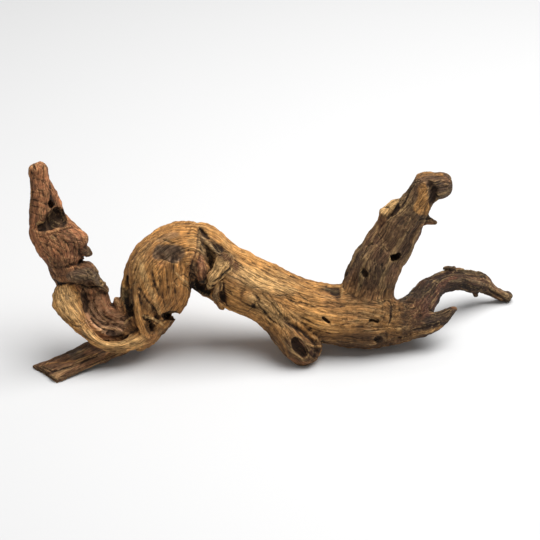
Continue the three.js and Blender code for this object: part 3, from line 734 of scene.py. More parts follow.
SCRAPS = (
    Growth("cavity_lump", 3, Hue.RUSSET, ragged=1.0, sections=(
        at(-69, 14, 28, 7, 8), at(-68, 2, 29, 9, 9), at(-66, -8, 26, 6, 7),
    )),
    Growth("flap", 1.5, Hue.STRAW, ragged=1.5, sections=(
        at(-41, 13, 33, 6, 4), at(-46, 6, 35, 9.5, 4.5), at(-54, -6, 36, 7, 4.5), at(-61, -16, 33, 4.5, 4),
    )),
    Growth("flap_lip", 2, Hue.HONEY, ragged=1.4, sections=(
        at(-50, -14, 32, 4, 5), at(-54, -26, 27, 4.5, 6), at(-49, -34, 16, 5.5, 8),
    )),
    Growth("trunk_knot", 2, Hue.HONEY, sections=(at(-24, -25, 25, 5, 5), at(-18, -27, 25, 5, 5))),
    Growth("cup_strand", 7, Hue.HONEY, sections=(
        at(-134, 4, 24, 4, 4), at(-133, -14, 27, 5.5, 5), at(-131, -32, 27, 6, 5), at(-127, -48, 23, 6, 5),
        at(-122, -64, 17, 6, 5),
    )),
    Growth("hook", 2, Hue.UMBER, ragged=1.2, sections=(
        at(-108, -58, 6, 6, 8), at(-103, -52, 5, 4, 6), at(-100, -50, 4, 2, 4),
    )),
)

HORN_MARKS = (
    # Painted highlight: the horn's upper tip lighter.
    Spot(Hue.COPPER, 0.6, (
        (-233, 107), (-224, 105), (-221, 92), (-220, 80), (-228, 75), (-230, 85), (-233, 95),
    )),
    # Painted shade down the horn's left flank.
    Crease(Hue.UMBER, 0.55, 3, 0, ((-241, 100), (-240, 70), (-241, 45))),
    Crease(Hue.BLACK_CRACK_AND_SHADE, 0.7, 1.2, 0.5, ((-237, 107), (-235, 100))),
    *creases(
        Hue.RUSTY, 0.4, 0.9, 0.5,
        ((-241, 78), (-232, 77), (-224, 74)),
        ((-241, 71), (-231, 69), (-223, 66)),
        ((-241, 64), (-230, 62), (-222, 60)),
    ),
    Crease(Hue.RUSTY, 0.5, 0.9, 0.5, ((-241, 58), (-232, 55), (-224, 53))),
    Crease(Hue.RUSTY, 0.4, 0.8, 0.4, ((-238, 92), (-231, 91), (-223, 88))),
    Crease(Hue.BLACK_CRACK_AND_SHADE, 0.8, 0.9, 0.5, ((-233, 80), (-229, 79))),
    Crease(Hue.UMBER, 0.4, 2, 0.3, ((-220, 87), (-218, 75), (-216, 65))),
    Crease(Hue.RUSSET, 0.6, 2, -0.5, ((-217, 89), (-210, 75), (-207, 65))),
    Spot(Hue.COPPER, 0.5, ((-216, 73), (-210, 72), (-209, 64), (-214, 64))),
    Spot(Hue.MOSSY, 0.85, (
        (-219, 62), (-213, 63), (-207, 58), (-201, 48), (-206, 44), (-213, 44), (-222, 39), (-232, 39),
        (-234, 43), (-225, 48), (-221, 55),
    ), sunk=1.0),
    Crease(Hue.BLACK_CRACK_AND_SHADE, 0.8, 1.5, 1, ((-216, 59), (-210, 57))),
    Crease(Hue.BLACK_CRACK_AND_SHADE, 0.7, 1.2, 0.8, ((-208, 60), (-204, 54))),
    Crease(Hue.BLACK_CRACK_AND_SHADE, 0.8, 1.4, 0.8, ((-217, 45), (-211, 43), (-204, 44))),
    Crease(Hue.STRAW, 0.8, 2, -0.4, ((-234, 46), (-230, 47), (-226, 48))),
    Crease(Hue.GREYED, 0.6, 1.2, -0.6, ((-218, 50), (-211, 47))),
    Crease(Hue.COPPER, 0.6, 1.6, -0.9, ((-238, 41), (-230, 36.5), (-220, 38), (-210, 41.5), (-198, 44))),
    *creases(
        Hue.RUSTY, 0.4, 0.9, 0.6,
        ((-234, 34), (-224, 32), (-214, 26), (-205, 21)),
        ((-230, 27), (-220, 24), (-210, 18), (-204, 8)),
    ),
    Crease(Hue.RUSTY, 0.5, 0.9, 0.6, ((-227, 19), (-220, 14), (-214, 6))),
    *creases(
        Hue.RUSTY, 0.4, 0.9, 0.6,
        ((-220, 36), (-210, 33), (-202, 27), (-199, 15), (-201, 5)),
        ((-214, 38), (-204, 36), (-197, 30), (-194, 18), (-196, 7)),
    ),
    *creases(
        Hue.RUSTY, 0.5, 0.9, 0.6,
        ((-204, 40), (-195, 35), (-191, 25), (-191, 15)),
        ((-194, 41), (-188, 34), (-186, 25)),
    ),
    Crease(Hue.RUSTY, 0.4, 0.8, 0.4, ((-212, 35), (-206, 29), (-204, 18))),
    Crease(Hue.PALE, 0.5, 1.6, -0.3, ((-221, 34), (-213, 30))),
    Spot(Hue.ROSE, 0.5, ((-204, 36), (-190, 38), (-187, 26), (-190, 10), (-200, 3), (-203, 15))),
    Spot(Hue.CREVICE, 0.6, ((-222, 14), (-208, 10), (-205, 2), (-214, 0), (-221, 4))),
    Crease(Hue.COPPER, 0.7, 2, -0.6, ((-202, 6), (-198, 2), (-193, 8))),
    Crease(Hue.RUSSET, 0.5, 1.8, -0.9, ((-221, 27), (-219, 15), (-218, 2), (-212, -6))),
    Crease(Hue.STRAW, 0.5, 1.2, 0, ((-184, 34), (-183, 27))),
    Crease(Hue.BLACK_CRACK_AND_SHADE, 0.6, 1, 0.5, ((-192, 43), (-187, 39))),
    Spot(Hue.MOSSY, 0.85, ((-188, 23), (-182, 24.5), (-178, 20), (-178, 13), (-183, 12), (-188, 16))),
    Crease(Hue.GREYED, 0.7, 0.9, 0, ((-181.5, 17), (-179.5, 15))),
)

CUP_MARKS = (
    Spot(Hue.ASH, 0.6, (
        (-206, -4), (-188, 2), (-176, 3), (-166, -10), (-164, -18), (-180, -14), (-200, -14),
    )),
    Crease(Hue.BLACK_CRACK_AND_SHADE, 0.6, 1.5, 0.8, ((-183, -1), (-178, -5))),
    Crease(Hue.CREVICE, 0.5, 1.5, 0.8, ((-175, 2), (-168, -8))),
    Crease(Hue.GREYED, 0.6, 3, -0.5, ((-198, -7), (-180, -8))),
    # Painted shadow below the neck's ragged lower edge.
    Crease(Hue.BLACK_CRACK_AND_SHADE, 0.9, 1.3, 1, (
        (-192, -15), (-186, -16), (-181, -18), (-178, -17), (-172, -17), (-166, -18.5), (-163, -20.5),
    )),
    Crease(Hue.STRAW, 0.7, 1.5, 0, ((-170, -11), (-167, -15))),
    Crease(Hue.CREVICE, 0.6, 1.5, 0.8, ((-217, -10), (-210, -14), (-202, -13), (-194, -14))),
    Crease(Hue.GOLDEN, 0.8, 3, -1.2, (
        (-208, -16), (-202, -15), (-196, -19), (-192, -28), (-189, -40), (-186, -50),
    )),
    Spot(Hue.ASH, 0.6, ((-206, -24), (-202, -25), (-200, -29), (-204, -31))),
    Crease(Hue.ASH, 0.5, 1, 0.3, ((-211, -33), (-208, -40))),
    Crease(Hue.ASH, 0.5, 1.5, 0.3, ((-196, -36), (-193, -41))),
    *creases(
        Hue.CREVICE, 0.35, 0.8, 0.3,
        ((-212, -28), (-205, -35), (-200, -46)),
        ((-214, -40), (-206, -48), (-196, -60)),
    ),
    # Painted shadow in the recess just right of the ear.
    Spot(Hue.MOSSY, 0.85, (
        (-188, -17), (-183, -20), (-181, -35), (-183, -45), (-187, -40), (-189, -28),
    ), sunk=1.2),
    Crease(Hue.BLACK_CRACK_AND_SHADE, 0.9, 0.9, 0.5, ((-198, -55), (-190, -57), (-184, -53), (-179, -51))),
    Crease(Hue.BLACK_CRACK_AND_SHADE, 0.6, 0.8, 0.4, ((-194, -51), (-186, -55))),
    Spot(Hue.ASH, 0.6, ((-190, -60), (-185, -60), (-182, -68), (-187, -67))),
    # Painted highlight along the rim's raised crest.
    Crease(Hue.STRAW, 0.7, 1.8, -0.9, ((-182, -60), (-175, -70), (-167, -75), (-155, -74.5), (-145, -72))),
    Crease(Hue.BLACK_CRACK_AND_SHADE, 0.85, 1.1, 0.6, ((-180, -56), (-174, -66), (-166, -71), (-152, -71), (-144, -67))),
    Crease(Hue.ROSE, 0.6, 1.5, -0.8, ((-177, -30), (-173, -42), (-164, -50), (-158, -52))),
    Crease(Hue.ROSE, 0.6, 1.3, -0.7, ((-180, -45), (-173, -52), (-166, -57))),
    Crease(Hue.ROSE, 0.5, 1.2, -0.6, ((-178, -53), (-172, -60), (-166, -63))),
    Crease(Hue.ROSE, 0.5, 1.3, -0.6, ((-166, -40), (-158, -46), (-150, -50))),
    *creases(
        Hue.CREVICE, 0.6, 1, 0.6,
        ((-175, -36), (-170, -46), (-162, -53)),
        ((-179, -48), (-171, -57), (-165, -60)),
    ),
    Crease(Hue.CREVICE, 0.5, 1, 0.6, ((-168, -44), (-160, -50), (-152, -54))),
    # Painted shade at the bottom of the cup's hollow.
    Spot(Hue.BLACK_CRACK_AND_SHADE, 0.85, (
        (-166, -62), (-158, -58), (-148, -61), (-144, -64), (-150, -69), (-162, -69),
    ), sunk=0.8),
    Crease(Hue.RUSSET, 0.6, 2, 0, ((-156, -30), (-152, -29), (-150, -34))),
    Spot(Hue.MOSSY, 0.6, ((-145, -42), (-137, -42), (-136, -55), (-142, -66), (-146, -58))),
    Crease(Hue.STRAW, 0.6, 1, -0.4, ((-146, -55), (-138, -45))),
    Crease(Hue.COPPER, 0.6, 2, -0.8, ((-180, -18), (-178, -26), (-179, -32))),
    Spot(Hue.STRAW, 0.45, ((-146, -63), (-132, -65), (-130, -76), (-147, -77))),
    Spot(Hue.ASH, 0.7, (
        (-204, -82), (-197, -76), (-190, -77), (-186, -83), (-184, -88), (-192, -90), (-200, -88),
    )),
    Crease(Hue.BLACK_CRACK_AND_SHADE, 0.7, 1.2, 1, (
        (-230, -96), (-222, -99), (-215, -102), (-200, -96.5), (-188, -92), (-172, -85.5),
    )),
    Crease(Hue.HONEY, 0.5, 1.2, -0.3, ((-226, -94), (-210, -92), (-192, -90), (-173, -83.5))),
    Crease(Hue.UMBER, 0.6, 3, 0, ((-238, -97), (-225, -105), (-213, -110))),
    Crease(Hue.CREVICE, 0.45, 1.2, 0.4, ((-210, -107), (-170, -91), (-145, -81))),
    Crease(Hue.CREVICE, 0.35, 0.8, 0.3, ((-222, -91), (-205, -84), (-190, -77))),
    # Painted shade under the rim.
    Crease(Hue.BLACK_CRACK_AND_SHADE, 0.6, 3.5, 0, ((-180, -78), (-160, -81.5), (-145, -80))),
)

ARCH_MARKS = (
    # Painted shade: the cavity left of the hump, black.
    Spot(Hue.BLACK_CRACK_AND_SHADE, 0.95, (
        (-149, -13), (-146, -18), (-141, -20), (-137, -13), (-135, -10), (-137, -30), (-136, -40),
        (-140, -42), (-146, -35), (-149, -25),
    )),
    Crease(Hue.UMBER, 0.8, 1.3, -0.5, ((-141, -19), (-139, -28), (-140, -37))),
    Spot(Hue.SCAR, 1.0, (
        (-118, 17), (-114, 25), (-109, 27), (-102, 25), (-94, 26), (-87, 24), (-85, 18), (-87, 11),
        (-92, 7), (-98, 8), (-107, 12), (-114, 10), (-118, 13),
    ), sunk=0.7),
    Crease(Hue.GREYED, 0.5, 1.5, 0, ((-113, 22), (-106, 18), (-100, 15))),
    Crease(Hue.CREVICE, 0.6, 1, 0.5, ((-109, 12), (-98, 8), (-92, 7))),
    Crease(Hue.RUSSET, 0.5, 3, 0, ((-112, 6), (-105, 5), (-99, 4))),
    Spot(Hue.ASH, 0.5, ((-116, 29), (-105, 37), (-92, 39), (-90, 34), (-100, 30), (-108, 27))),
    Crease(Hue.UMBER, 0.8, 1, 0.8, ((-107, 31), (-101, 28), (-94, 27))),
    # Painted shadow along the hump's fold.
    Crease(Hue.CREVICE, 0.5, 1.6, 0.6, ((-135, -3), (-131, -19), (-123, -30), (-114, -41))),
    Crease(Hue.PALE, 0.4, 3.5, -0.7, ((-131, 10), (-127, -2), (-121, -18), (-113, -34), (-110, -44))),
    Crease(Hue.UMBER, 0.4, 2, 0.4, ((-123, 8), (-119, -4), (-112, -20), (-105, -36))),
    # Painted shadow in the triangular recess below the fold.
    Spot(Hue.UMBER, 0.6, (
        (-135, -14), (-131, -16), (-122, -30), (-115, -40), (-117, -45), (-126, -40), (-132, -30),
    ), sunk=0.3),
    Crease(Hue.HONEY, 0.5, 3.5, -0.8, ((-136, -15), (-134, -35), (-131, -55), (-126, -66))),
    Crease(Hue.CREVICE, 0.6, 1.2, 0.4, ((-136, -10), (-137.5, -35), (-136, -52), (-131, -60))),
    Crease(Hue.UMBER, 0.4, 2, 0.4, ((-131, -25), (-129, -40), (-125, -52))),
    Crease(Hue.CREVICE, 0.7, 0.9, 0.7, ((-88, -13), (-84, -16), (-80, -21))),
    *creases(
        Hue.CREVICE, 0.6, 0.9, 0.7,
        ((-90, -6), (-86, -4), (-82, -8)),
        ((-93, -8), (-96, -12), (-92, -16)),
        ((-85, -11), (-81, -15), (-80, -10)),
    ),
    Crease(Hue.PALE, 0.5, 1.4, -0.8, ((-94, -3), (-88, -9), (-82, -14))),
    Crease(Hue.BLACK_CRACK_AND_SHADE, 0.7, 1.2, 0.6, (
        (-71, 38), (-72, 30), (-73, 22), (-75, 14), (-78, 7), (-80, -3), (-80, -14),
    )),
    Crease(Hue.GOLDEN, 0.7, 3, -0.6, ((-78, 42), (-77, 28), (-79, 16), (-84, 6))),
    Spot(Hue.BLACK_CRACK_AND_SHADE, 0.9, ((-76, 35), (-72, 35.5), (-71.5, 32), (-75, 33)), sunk=1.0),
    *creases(
        Hue.UMBER, 0.4, 0.9, 0.4,
        ((-112, 2), (-110, -15), (-104, -40)),
        ((-104, 4), (-103, -14), (-98, -40)),
    ),
    Crease(Hue.UMBER, 0.35, 0.9, 0.4, ((-97, 5), (-96, -12), (-93, -36))),
    *creases(
        Hue.UMBER, 0.4, 1, 0.5,
        ((-118, 10), (-118, -5), (-111, -25)),
        ((-127, 20), (-133, 8), (-136, -4)),
    ),
    *creases(
        Hue.UMBER, 0.35, 1, 0.4,
        ((-120, 27), (-128, 14), (-132, 0)),
        ((-113, 33), (-122, 22), (-127, 8)),
    ),
    # Painted shade inside the small pocket at the base.
    Spot(Hue.UMBER, 0.85, (
        (-124, -48), (-121, -50), (-118, -56), (-118, -61), (-121, -63), (-124, -58),
    ), sunk=0.8),
    Crease(Hue.PALE, 0.55, 1.5, -1, ((-127, -46), (-121, -47), (-113, -51), (-106, -55))),
    Crease(Hue.CREVICE, 0.6, 1, 0.7, ((-126, -49.5), (-119, -50), (-112, -54.5))),
    Crease(Hue.CREVICE, 0.7, 1.2, 0.6, ((-112, -52), (-105, -50), (-101, -46))),
    Spot(Hue.UMBER, 0.8, (
        (-112, -57), (-105, -58), (-100, -56), (-98, -50), (-103, -64), (-110, -67), (-113, -62),
    )),
    Spot(Hue.UMBER, 0.75, (
        (-72, 41), (-66, 38), (-55, 30), (-44, 21), (-36, 13), (-30, 7), (-31, -2), (-38, -2), (-44, 9),
        (-54, 12), (-60, 3), (-66, 12), (-73, 18), (-73, 30),
    )),
    Spot(Hue.RUSTY, 0.5, ((-48, 18), (-42, 14), (-34, 8), (-30, 2), (-33, -1), (-40, 5), (-47, 10))),
    Crease(Hue.CREVICE, 0.9, 2, 1.2, ((-71, 43), (-66, 36), (-60, 30), (-54, 23), (-50, 18))),
    Spot(Hue.BLACK_CRACK_AND_SHADE, 0.8, ((-57, 27), (-50, 26), (-44, 20), (-48, 17), (-52, 17), (-57, 21)), sunk=1.0),
    Crease(Hue.GREYED, 0.7, 2, -1.2, ((-71, 36), (-64, 28), (-57, 22), (-50, 15))),
    Spot(Hue.MOSSY, 0.7, (
        (-73, 25), (-66, 27), (-58, 17), (-56, 8), (-60, 4), (-64, 12), (-70, 17),
    ), sunk=0.5),
    Spot(Hue.ROSE, 0.75, (
        (-70, 17), (-67, 15), (-66, 8), (-62, 2), (-63, -4), (-66, -10), (-70, -12), (-74, -9), (-72, -2),
        (-73, 6),
    )),
    Crease(Hue.COPPER, 0.6, 2, -0.5, ((-70, -2), (-68, -7))),
    Spot(Hue.MOSSY, 0.8, ((-76, 10), (-73, 4), (-74, -6), (-76, -12), (-79, -9), (-79, 2))),
    # Painted shade: the void under the arch, black.
    Spot(Hue.BLACK_CRACK_AND_SHADE, 1.0, (
        (-79, -10), (-69, -12), (-63, -5), (-63, -13), (-66, -17), (-58, -21), (-56, -31), (-66, -27),
        (-72, -24), (-79, -19),
    )),
    Spot(Hue.STRAW, 0.85, (
        (-54, 12), (-50, 11), (-45, 8), (-40, 9), (-42, 3), (-48, -2), (-55, -10), (-58, -18), (-61, -19),
        (-65, -16), (-65, -11), (-61, -7), (-59, -2), (-58, 5),
    )),
    Crease(Hue.BLACK_CRACK_AND_SHADE, 1.0, 1.5, 1.5, ((-38, 4), (-45, -3), (-53, -10), (-57, -12))),
    Spot(Hue.CREVICE, 0.9, (
        (-52, -12), (-47, -12), (-45, -20), (-45, -33), (-49, -34), (-50, -22),
    ), sunk=1.2),
    Crease(Hue.RUSTY, 0.8, 1, 0, ((-46, -12), (-44.5, -24), (-44.5, -34))),
    Spot(Hue.GREYED, 0.6, ((-57, -18), (-50, -18), (-50, -30), (-55, -34), (-58, -28))),
    Crease(Hue.BLACK_CRACK_AND_SHADE, 0.7, 0.9, 0.6, ((-63, -14), (-59, -17), (-56, -16))),
    Crease(Hue.UMBER, 0.45, 0.9, 0.5, ((-60, -8), (-56, -4), (-51, 0))),
    Crease(Hue.UMBER, 0.4, 0.8, 0.4, ((-56, 6), (-52, 4), (-47, 4))),
    Crease(Hue.BLACK_CRACK_AND_SHADE, 0.8, 0.8, 0.5, ((-30, 5), (-26, 2))),
    Crease(Hue.ASH, 0.5, 1.6, 0, ((-44, -4), (-38, -7), (-32, -9))),
)

TRUNK_MARKS = (
    Spot(Hue.BLACK_CRACK_AND_SHADE, 0.8, ((-20, -35), (-17, -33), (-14, -36), (-15, -39), (-19, -39)), sunk=1.0),
    *creases(
        Hue.CREVICE, 0.7, 0.9, 0.5,
        ((-28, -32), (-20, -36)),
        ((-22, -42), (-17, -38), (-14, -33)),
    ),
    Crease(Hue.UMBER, 0.4, 0.9, 0.4, ((-31, -36), (-24, -42), (-14, -44))),
    Spot(Hue.RUSTY, 0.5, ((-30, -23), (-27, -21), (-25, -25), (-28, -28))),
    Crease(Hue.CREVICE, 0.6, 0.9, 0.4, ((-27, -13), (-20, -17), (-8, -17), (2, -20))),
    Crease(Hue.CREVICE, 0.7, 1.5, 0.6, (
        (-17, -23), (-8, -33), (0, -42), (10, -48), (20, -55), (30, -60), (38, -67), (45, -73),
    )),
    Spot(Hue.UMBER, 0.6, (
        (13, -51), (22, -53), (32, -59), (40, -67), (36, -70), (28, -65), (18, -60),
    ), sunk=0.2),
    Crease(Hue.CREVICE, 0.6, 1, 0.6, ((-8, -23), (0, -32), (10, -43), (17, -51))),
    Crease(Hue.CREVICE, 0.5, 0.8, 0.5, ((-4, -20), (3, -30), (10, -38))),
    Crease(Hue.CREVICE, 0.7, 1.2, 0.8, ((-12, -33), (-6, -43), (2, -51), (13, -57))),
    Crease(Hue.CREVICE, 0.5, 1, 0.6, ((5, -48), (13, -60), (18, -68))),
    Crease(Hue.CREVICE, 0.45, 1, 0.5, ((-2, -52), (6, -61), (13, -70))),
    Crease(Hue.CREVICE, 0.6, 1, 0.5, ((2, -24), (14, -26), (27, -22), (32, -27), (38, -31))),
    Crease(Hue.CREVICE, 0.45, 1, 0.4, ((28, -32), (45, -34), (60, -33), (78, -32))),
    Crease(Hue.CREVICE, 0.4, 0.9, 0.4, ((40, -36), (55, -37), (75, -36))),
    *creases(
        Hue.UMBER, 0.4, 0.8, 0.4,
        ((10, -33), (20, -40), (33, -48), (48, -55)),
        ((20, -30), (32, -39), (46, -46)),
        ((18, -44), (30, -52), (44, -60), (60, -64)),
    ),
    Crease(Hue.UMBER, 0.45, 0.8, 0.4, ((-18, 8), (-8, 0), (5, -7), (20, -11), (35, -18))),
    *creases(
        Hue.UMBER, 0.4, 0.8, 0.4,
        ((-24, 2), (-12, -6), (2, -12), (20, -18), (28, -21)),
        ((-8, 6), (8, -2), (23, -7)),
    ),
    *creases(
        Hue.UMBER, 0.35, 0.8, 0.4,
        ((30, -14), (44, -22), (58, -28), (80, -30)),
        ((50, -42), (66, -44), (84, -42)),
        ((62, -56), (76, -54), (90, -50)),
    ),
    *creases(
        Hue.BLACK_CRACK_AND_SHADE, 0.6, 1.1, 0.4,
        ((6, 1), (14, -2)),
        ((36, -12), (43, -15.5)),
    ),
    Crease(Hue.BLACK_CRACK_AND_SHADE, 0.7, 1.2, 0.4, ((20, -5), (28, -8.5))),
    Crease(Hue.BLACK_CRACK_AND_SHADE, 0.8, 1, 0.4, ((48, -16), (57, -16))),
    Spot(Hue.BLACK_CRACK_AND_SHADE, 0.95, (
        (54, -16), (62, -17), (68, -17), (70.5, -21), (69, -25), (62, -25), (59, -20), (55, -19),
    ), sunk=1.0),
    Crease(Hue.CREVICE, 0.8, 0.9, 0.5, ((62, -26.5), (67, -28), (71, -26.5))),
    Crease(Hue.STRAW, 0.5, 1.2, -0.4, ((72, -16), (73, -22), (71, -25))),
    Spot(Hue.BLACK_CRACK_AND_SHADE, 0.95, ((51.5, -47), (55, -48), (60, -52), (61, -54.5), (57, -53), (53, -50)), sunk=2.0),
    # Painted shade on the underside left of the knob leg.
    Spot(Hue.UMBER, 0.5, ((-14, -50), (0, -58), (6, -66), (12, -78), (18, -92), (8, -84), (-4, -68))),
    Crease(Hue.CREVICE, 0.5, 1, 0.5, ((50, -71.5), (65, -71), (80, -73.5))),
    Crease(Hue.GOLDEN, 0.4, 1.8, -0.7, ((13, -60), (14, -74), (18, -86))),
    Spot(Hue.LIVER, 0.9, (
        (22, -68), (27, -67), (33, -71), (37, -78), (39, -84), (35, -88), (28, -87), (23, -81), (21, -73),
    ), sunk=1.5),
    Spot(Hue.BLACK_CRACK_AND_SHADE, 0.7, ((22, -70), (25, -70), (28, -78), (30, -85), (25, -83), (22, -77)), sunk=0.5),
    Crease(Hue.RUSSET, 0.5, 1, -0.6, ((28, -70), (34, -77), (37, -84))),
    Spot(Hue.LIVER, 0.85, (
        (39, -81), (46, -80), (52, -78), (53, -83), (50, -88), (43, -88), (40, -85),
    ), sunk=1.3),
    Crease(Hue.HONEY, 0.6, 1.5, -0.9, ((36, -72), (42, -77), (52, -76))),
    Crease(Hue.RUSSET, 0.6, 1.8, -0.5, ((18, -87), (28, -93), (42, -92))),
    Spot(Hue.UMBER, 0.6, ((86, -56), (92, -54), (102, -56), (103, -66), (98, -74), (86, -76), (80, -70))),
    # Painted shade along the trunk's bottom edge.
    Spot(Hue.UMBER, 0.6, ((66, -71), (100, -73), (125, -73), (127, -79), (66, -78))),
    Spot(Hue.BLACK_CRACK_AND_SHADE, 0.85, (
        (105, -69), (109, -66), (113, -68), (114, -71), (109, -74), (105, -72),
    ), sunk=1.0),
    Crease(Hue.UMBER, 0.5, 1.5, -0.4, ((103, -69), (108, -64), (115, -67), (116, -72))),
    Spot(Hue.LIVER, 0.8, ((126, -69), (129, -66), (132, -68), (131, -72), (127, -72)), sunk=0.5),
    Crease(Hue.BLACK_CRACK_AND_SHADE, 0.9, 1.2, 0.8, ((99.5, -51.5), (103, -49), (107.5, -52))),
    Crease(Hue.BLACK_CRACK_AND_SHADE, 0.8, 1.2, 0.8, (
        (113, -32), (117, -30), (121, -31), (122, -38), (121, -48), (119, -54),
    )),
    Crease(Hue.BLACK_CRACK_AND_SHADE, 0.8, 1.3, 0.6, ((108, -28), (109, -34))),
    Crease(Hue.CREVICE, 0.5, 0.8, 0.4, ((96, -54), (104, -57), (118, -56), (131, -57))),
    Crease(Hue.CREVICE, 0.4, 0.8, 0.4, ((92, -62), (104, -60), (118, -60))),
    *creases(
        Hue.UMBER, 0.35, 0.8, 0.3,
        ((108, -20), (112, -28), (112, -44)),
        ((86, -42), (100, -44), (112, -46)),
    ),
)

BRANCH_MARKS = (
    Spot(Hue.BLACK_CRACK_AND_SHADE, 1.0, (
        (120, 13), (122, 15), (127, 16), (129, 13), (128, 10), (124, 8), (121, 10),
    ), sunk=2.0),
    Spot(Hue.DUSKY, 0.6, (
        (86, 4), (94, 3), (98, -3), (94, -12), (92, -20), (89, -22), (87, -12), (86, -4),
    )),
    Spot(Hue.BLACK_CRACK_AND_SHADE, 1.0, ((90.5, -2), (93, 0), (96, 0), (97.5, -3), (96, -7), (92, -7)), sunk=2.0),
    Crease(Hue.BLACK_CRACK_AND_SHADE, 0.6, 1, 0.6, ((90, -12), (91, -18))),
    Crease(Hue.BLACK_CRACK_AND_SHADE, 1.0, 1.3, 1, ((76, -6), (78, -1))),
    Crease(Hue.BLACK_CRACK_AND_SHADE, 0.8, 1.3, 0.8, ((100, 27), (103, 25))),
    Crease(Hue.CREVICE, 0.6, 0.9, 0.6, ((100, 26), (96, 20), (91, 11))),
    Spot(Hue.STRAW, 0.75, (
        (110, 58), (113, 63), (119, 68), (125, 69), (130, 72), (127, 63), (122, 55), (117, 54), (112, 55),
    )),
    Crease(Hue.CREVICE, 0.6, 1, 0.6, ((115, 62), (119, 62.5), (119, 59))),
    Spot(Hue.RUSTY, 0.7, ((108, 57), (115, 54), (118, 52), (116, 46), (110, 40), (107, 48))),
    Crease(Hue.BLACK_CRACK_AND_SHADE, 0.95, 2, 1.8, ((130, 71), (128, 62), (121, 54))),
    Spot(Hue.DUSKY, 0.7, (
        (143, 87), (138, 83), (134, 75), (131, 69), (128, 60), (134, 63), (139, 72), (144, 82),
    )),
    Crease(Hue.BLACK_CRACK_AND_SHADE, 0.8, 1.2, 0.9, ((144, 86), (138, 76), (132, 64))),
    Crease(Hue.PALE, 0.5, 0.9, -0.4, ((140, 70), (132, 61), (127, 56))),
    Crease(Hue.CREVICE, 0.6, 0.8, 0.5, ((139, 66), (131, 58))),
    Spot(Hue.GOLDEN, 0.8, (
        (148, 85), (156, 88), (158, 75), (160, 65), (160, 56), (154, 54), (145, 58), (142, 62), (148, 72),
    )),
    # Painted shade on the concave face of the branch's knob.
    Spot(Hue.DUSKY, 0.95, (
        (158, 88), (170, 89), (179, 86), (182, 80), (176, 74), (168, 70), (162, 66), (160, 74), (158, 80),
    )),
    Spot(Hue.BLACK_CRACK_AND_SHADE, 0.8, ((160, 76), (164, 76), (165, 70), (161, 68)), sunk=0.6),
    Crease(Hue.HONEY, 0.7, 3, 0, ((145, 92), (153, 97), (165, 98), (173, 95))),
    Crease(Hue.RUSSET, 0.5, 1.5, 0, ((175, 94), (180, 88))),
    Crease(Hue.BLACK_CRACK_AND_SHADE, 0.6, 1, 0.5, ((160, 89), (166, 87), (171, 90))),
    Crease(Hue.BLACK_CRACK_AND_SHADE, 0.5, 1, 0, ((163, 98.5), (171, 96))),
    Crease(Hue.BLACK_CRACK_AND_SHADE, 0.8, 0.9, 0.5, ((144, 87), (151, 89))),
    Crease(Hue.BLACK_CRACK_AND_SHADE, 0.7, 1.3, 0.9, ((149, 49), (155, 51), (161, 52))),
    Crease(Hue.RUSSET, 0.7, 1.6, -0.5, ((150, 44), (158, 47), (164, 46))),
    Crease(Hue.BLACK_CRACK_AND_SHADE, 0.6, 1.2, 0.3, ((148, 40), (155, 43), (161, 43.5))),
    Crease(Hue.DUSKY, 0.7, 3, 0.4, ((145, 38), (139, 28), (132, 18))),
    Spot(Hue.DUSKY, 0.5, ((120, 45), (126, 46), (127, 34), (122, 30), (119, 36))),
    Spot(Hue.UMBER, 0.5, ((122, 52), (148, 56), (150, 38), (138, 18), (115, 20), (105, 32))),
    Crease(Hue.PALE, 0.35, 1, 0, ((109, 46), (104, 34), (97, 20))),
    Crease(Hue.CREVICE, 0.5, 0.9, 0.4, ((112, 25), (118, 18))),
    Crease(Hue.CREVICE, 0.45, 0.9, 0.4, ((108, 38), (112, 28), (110, 16))),
    *creases(
        Hue.CREVICE, 0.35, 0.8, 0.4,
        ((104, 12), (106, 0), (104, -14)),
        ((112, 6), (113, -6), (111, -18)),
        ((98, 14), (101, 2), (100, -10)),
    ),
    Crease(Hue.UMBER, 0.35, 0.8, 0.4, ((84, 12), (88, 0), (84, -14))),
)

